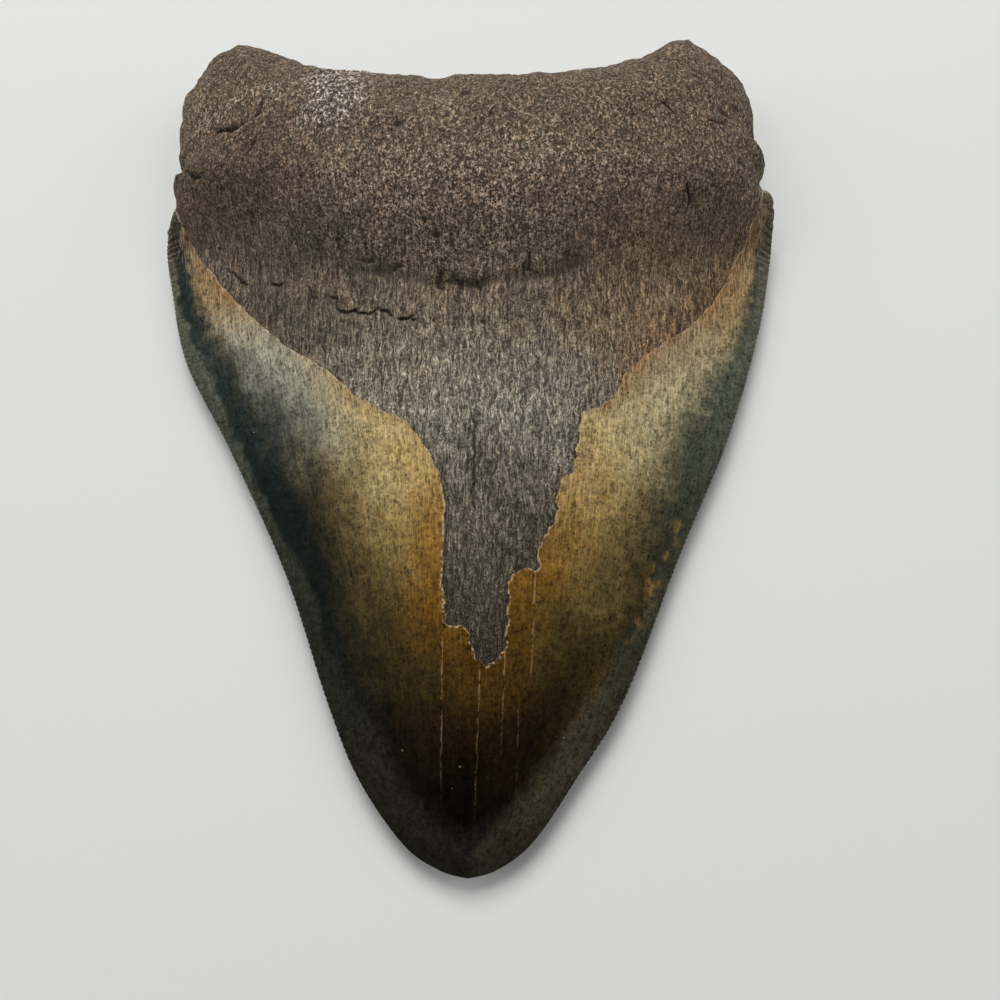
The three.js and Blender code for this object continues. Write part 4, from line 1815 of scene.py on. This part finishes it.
    def _seam_mask(self, bench: Bench, streaks: Socket, sand: Socket) -> Socket:
        """Mask of the pale seams, which thin out and break up along their length."""
        apart = bench.node("ShaderNodeSeparateXYZ")
        bench.feed(apart.inputs[0], bench.place())
        along = bench.mark("from_tip")
        tongue = bench.maths("SUBTRACT", 1.0, bench.mark("lip_side"))
        total: Value = 0.0
        for seam in self.seams:
            line = bench.maths("MULTIPLY_ADD", along, -seam.lean, apart.outputs["X"])
            line = bench.nudged(line, sand, 0.13)
            middle = seam.x + TIP_X - seam.lean * seam.high
            off = bench.maths("ABSOLUTE", bench.maths("SUBTRACT", line, middle))
            stretch = (seam.low, seam.low + self.seam_fade, seam.high - 0.5, seam.high)
            reach = bench.band(along, stretch, seam.strength)
            total = bench.maths("MAXIMUM", total, bench.product(bench.mask(off, seam.width, 0.02), reach))
        broken = bench.mask(bench.weighted(0.0, (streaks, 0.6), (sand, 0.4)), 0.25, 0.75)
        return bench.product(total, tongue, bench.weighted(-0.05, (broken, 1.1)))


@dataclass(frozen=True)
class Bone:
    """Dull brown-grey root and dentine: sandy on the root, finely fibrous below it."""

    name: str = "root bone and dentine"
    along: Sequence[tuple[float, Colour]] = (
        (30, (66, 58, 45)), (40, (84, 77, 64)), (50, (102, 94, 79)), (60, (124, 115, 101)),
        (68, (148, 140, 123)), (76, (144, 134, 116)), (83, (126, 115, 96)), (89, (112, 100, 83)),
        (95, (122, 108, 91)), (102, (138, 122, 104)), (112, (127, 111, 92)), (122, (123, 107, 87)),
        (136, (118, 103, 84)), (150, (116, 101, 86)),
    )
    rust: Colour = (132, 94, 60)
    umber: Colour = (78, 60, 44)
    warm: Colour = (150, 122, 88)
    moss: Colour = (70, 68, 54)
    pale: Colour = (178, 170, 158)
    shade: Colour = (50, 37, 27)
    # Colour of the painted shade in cracks, pits and the groove, and of the shadow and dirt beside the
    # enamel's step.
    dark: Colour = (34, 26, 20)
    brightest: float = 3.2
    roughness: float = 0.82

    def make(self, effects: Effects) -> bpy.types.Material:
        """Builds the material.

        Args:
            effects: The shared effects.

        Returns:
            The material.
        """
        material, bench, shader = new_material(self.name)
        place = bench.place()
        share = bench.mark("root_share")
        border = bench.mark("from_border")
        from_tip = bench.mark("from_tip")
        patches = bench.placed(effects.mottling, Place=place, Size=9.0)[0]
        drawn = bench.scaled(place, (1.0, 0.62, 1.0))
        sand, grains, lumps = bench.placed(effects.grain, Place=drawn, Size=0.5)
        sway = bench.maths("MULTIPLY_ADD", lumps, 0.5, -0.25)
        streaks, lines = bench.placed(
            effects.growth_lines, Place=place, Width=0.24, Length=2.8, Spacing=1.1, Sway=sway
        )
        colour = bench.colours_along(bench.nudged(from_tip, patches, 5.0), self.along)
        colour = self._regions(bench, patches, colour)
        rusty = bench.product(
            bench.mask(patches, 0.5, 0.85, 0.4),
            bench.mask(lumps, 0.3, 0.8, 0.5),
            bench.mask(from_tip, 66.0, 90.0),
        )
        beside = bench.product(
            bench.mask(border, -6.5, -0.4),
            bench.band(from_tip, (62.0, 84.0, 100.0, 112.0)),
            bench.weighted(0.15, (lumps, 0.6)),
            bench.mask(bench.mark("across"), -0.3, 0.3, 0.75),
        )
        colour = bench.mix(bench.highest(rusty, beside), colour, self.rust)
        colour = bench.mix(self._pale_patch(bench, patches, sand), colour, self.pale)
        fibre = bench.product(bench.maths("SUBTRACT", streaks, 0.5), bench.between(share, 1.0, 0.25))
        rough = bench.weighted(-1.0, (sand, 0.95), (grains, 1.05))
        depth = bench.weighted(bench.between(share, 1.1, 2.0), (bench.mark("pitted"), 0.7))
        rough = bench.product(rough, depth)
        tone = bench.weighted(-0.5, (rough, 1.0), (lumps, 0.3), (patches, 0.3), (fibre, 1.9))
        tone = bench.weighted(tone, (bench.product(lines, bench.between(share, 1.0, 0.0)), -0.3))
        tone = bench.maths("POWER", 2.0, tone)
        grey = bench.grey(bench.maths("MINIMUM", tone, self.brightest))
        colour = bench.mix(1.0, colour, grey, "MULTIPLY")
        colour = bench.mix(bench.mask(tone, 0.8, 0.25, 0.5), colour, self.shade)
        # Painted shadow, partly dirt, in a thin line on the bone just beside the enamel's step.
        shaded = bench.mask(border, -0.5, -0.08, 0.5)
        # Painted shade in cracks, pits, the groove, the pitted patch and below the foot edge, with the line
        # beside the enamel's step, broken up by the grain.
        shade_and_dirt_share = bench.highest(bench.mark("opening_shade"), shaded, bench.product(bench.mark("pitted"), 0.32))
        shade_and_dirt_share = bench.weighted(shade_and_dirt_share, (sand, 0.35), (grains, 0.35))
        deep = bench.mask(shade_and_dirt_share, 0.8, 1.1)
        colour = bench.mix(bench.product(deep, 0.85), colour, self.dark)
        bench.feed(shader.inputs["Base Color"], colour)
        bench.feed(shader.inputs["Roughness"], bench.weighted(self.roughness - 0.08, (sand, 0.16)))
        shader.inputs["Specular IOR Level"].default_value = 0.25
        height = bench.weighted(
            0.0,
            (bench.product(rough, bench.between(share, 0.8, 1.0)), 0.2),
            (bench.product(streaks, bench.between(share, 1.0, 0.3)), 0.07),
            (deep, -0.1),
        )
        bench.feed(shader.inputs["Normal"], bench.raised(height))
        return material

    def _regions(self, bench: Bench, patches: Socket, colour: Socket) -> Socket:
        """Stains of whole stretches: umber low on both lobes, warm by the right border, mossy left."""
        from_tip = bench.mark("from_tip")
        across = bench.nudged(bench.mark("across"), patches, 0.3)
        aside = bench.mask(bench.maths("ABSOLUTE", across), 0.25, 0.55)
        strength = bench.between(bench.mask(across, -0.2, 0.2), 0.5, 0.2)
        umber = bench.product(bench.band(from_tip, (101.0, 108.0, 115.0, 126.0)), aside, strength)
        colour = bench.mix(umber, colour, self.umber)
        low = bench.band(from_tip, (74.0, 84.0, 98.0, 108.0))
        colour = bench.mix(bench.product(low, bench.mask(across, 0.15, 0.5, 0.5)), colour, self.warm)
        return bench.mix(bench.product(low, bench.mask(across, -0.2, -0.5, 0.4)), colour, self.moss)

    @staticmethod
    def _pale_patch(bench: Bench, patches: Socket, sand: Socket) -> Socket:
        """Mask of the worn pale patch, off centre near the root's margin, and of lesser ones."""
        centre = bench.band(bench.mark("across"), (-0.56, -0.44, -0.38, -0.26))
        high = bench.mask(bench.mark("from_tip"), 112.0, 122.0)
        broken = bench.mask(sand, 0.35, 0.75)
        root = bench.mask(bench.mark("root_share"), 0.2, 0.8)
        lesser = bench.product(bench.mask(patches, 0.7, 1.0), broken, root, 0.25)
        return bench.highest(bench.product(centre, high, broken, 0.8), lesser)


@dataclass(frozen=True)
class BrokenEnamel:
    """Cut edge of the enamel: chalky and pale, stained in places."""

    name: str = "broken enamel edge"
    pale: Colour = (196, 176, 146)
    stained: Colour = (104, 76, 48)
    low_down: Colour = (60, 44, 26)
    roughness: float = 0.7

    def make(self, effects: Effects) -> bpy.types.Material:
        """Builds the material.

        Args:
            effects: The shared effects.

        Returns:
            The material.
        """
        material, bench, shader = new_material(self.name)
        place = bench.place()
        patches = bench.placed(effects.mottling, Place=place, Size=2.4)[0]
        sand, _, lumps = bench.placed(effects.grain, Place=place, Size=0.6)
        streaks, _ = bench.placed(
            effects.growth_lines, Place=place, Width=0.2, Length=0.6, Spacing=0.8, Sway=0.0
        )
        colour = bench.mix(bench.mask(patches, 0.3, 0.8), self.stained, self.pale)
        tone = bench.weighted(0.7, (sand, 0.25), (streaks, 0.25))
        colour = bench.mix(1.0, colour, bench.grey(tone), "MULTIPLY")
        low = bench.mask(bench.mark("from_tip"), 46.0, 30.0, 0.5)
        bench.feed(shader.inputs["Base Color"], bench.mix(low, colour, self.low_down))
        bench.feed(shader.inputs["Roughness"], bench.weighted(self.roughness - 0.1, (sand, 0.2)))
        height = bench.weighted(0.0, (lumps, 0.04), (streaks, 0.03))
        bench.feed(shader.inputs["Normal"], bench.raised(height))
        return material


# ---------------------------------------------------------------------------------------------
# Studio
# ---------------------------------------------------------------------------------------------


@dataclass
class Studio:
    """Plain pale floor, soft lights and the camera."""

    floor_size: float = 6.0
    floor_tone: Colour = (224, 225, 222)
    air_tone: tuple[float, float, float, float] = (0.93, 0.96, 1.0, 1.0)
    air_strength: float = 0.1
    lens: float = 27.0
    tilt: float = 18.06
    camera_from_low: tuple[float, float, float] = (62.87, 18.35, 122.94)
    lights: Sequence[tuple[str, tuple[float, float, float], float, float]] = (
        ("back light", (-0.15, 0.95, 1.05), 0.8, 16.8),
        ("left light", (-1.1, 0.1, 0.9), 1.0, 5.8),
        ("right light", (1.1, 0.05, 0.9), 1.0, 5.0),
    )

    def lay_floor(self) -> bpy.types.Object:
        """Lays the plain floor."""
        mesh = bpy.data.meshes.new("floor")
        half = self.floor_size / 2.0
        corners = [(-half, -half, 0.0), (half, -half, 0.0), (half, half, 0.0), (-half, half, 0.0)]
        mesh.from_pydata(corners, [], [(0, 1, 2, 3)])
        floor = bpy.data.objects.new("floor", mesh)
        bpy.context.scene.collection.objects.link(floor)
        material, _, shader = new_material("matt paper")
        shader.inputs["Base Color"].default_value = linear(self.floor_tone)
        shader.inputs["Roughness"].default_value = 0.9
        shader.inputs["Specular IOR Level"].default_value = 0.2
        mesh.materials.append(material)
        return floor

    def hang_lights(self, target: Vector) -> None:
        """Hangs the soft lights, aimed at the tooth."""
        for name, place, size, power in self.lights:
            data = bpy.data.lights.new(name, "AREA")
            data.shape = "SQUARE"
            data.size = size
            data.energy = power
            light = bpy.data.objects.new(name, data)
            light.location = place
            light.rotation_euler = (target - Vector(place)).to_track_quat("-Z", "Y").to_euler()
            bpy.context.scene.collection.objects.link(light)
        world = bpy.data.worlds.new("studio air")
        world.use_nodes = True
        background = world.node_tree.nodes["Background"]
        background.inputs["Color"].default_value = self.air_tone
        background.inputs["Strength"].default_value = self.air_strength
        bpy.context.scene.world = world
        bpy.context.scene.view_settings.view_transform = "Standard"

    def set_camera(self, low: Vector) -> None:
        """Sets the camera above the crown, tilted back towards the root.

        Args:
            low: Lowest corner of the tooth's packed box.
        """
        data = bpy.data.cameras.new("camera")
        data.lens = self.lens
        data.clip_start = 0.005
        camera = bpy.data.objects.new("camera", data)
        right, ahead, up = (value * MM for value in self.camera_from_low)
        camera.location = (low.x + right, low.y + ahead, up)
        camera.rotation_euler = (math.radians(self.tilt), 0.0, 0.0)
        bpy.context.scene.collection.objects.link(camera)
        bpy.context.scene.camera = camera


def main() -> None:
    """Builds the tooth, dresses it, and sets up the studio round it."""
    low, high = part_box(NODE)
    skin = ToothSkin(ToothForm(), EnamelCap(), RootSurface())
    tooth = skin.build("fossil_tooth", low)
    effects = Effects()
    for finish in (Enamel(), Bone(), BrokenEnamel()):
        tooth.data.materials.append(finish.make(effects))
    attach(tooth, "root")
    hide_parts(NODE)
    log.info("%s: %d triangles in one closed skin", tooth.name, len(tooth.data.polygons))
    studio = Studio()
    floor = studio.lay_floor()
    studio.hang_lights((low + high) / 2.0)
    studio.set_camera(low)
    log.info("%s: laid under the tooth", floor.name)


if __name__ == "__main__":
    main()
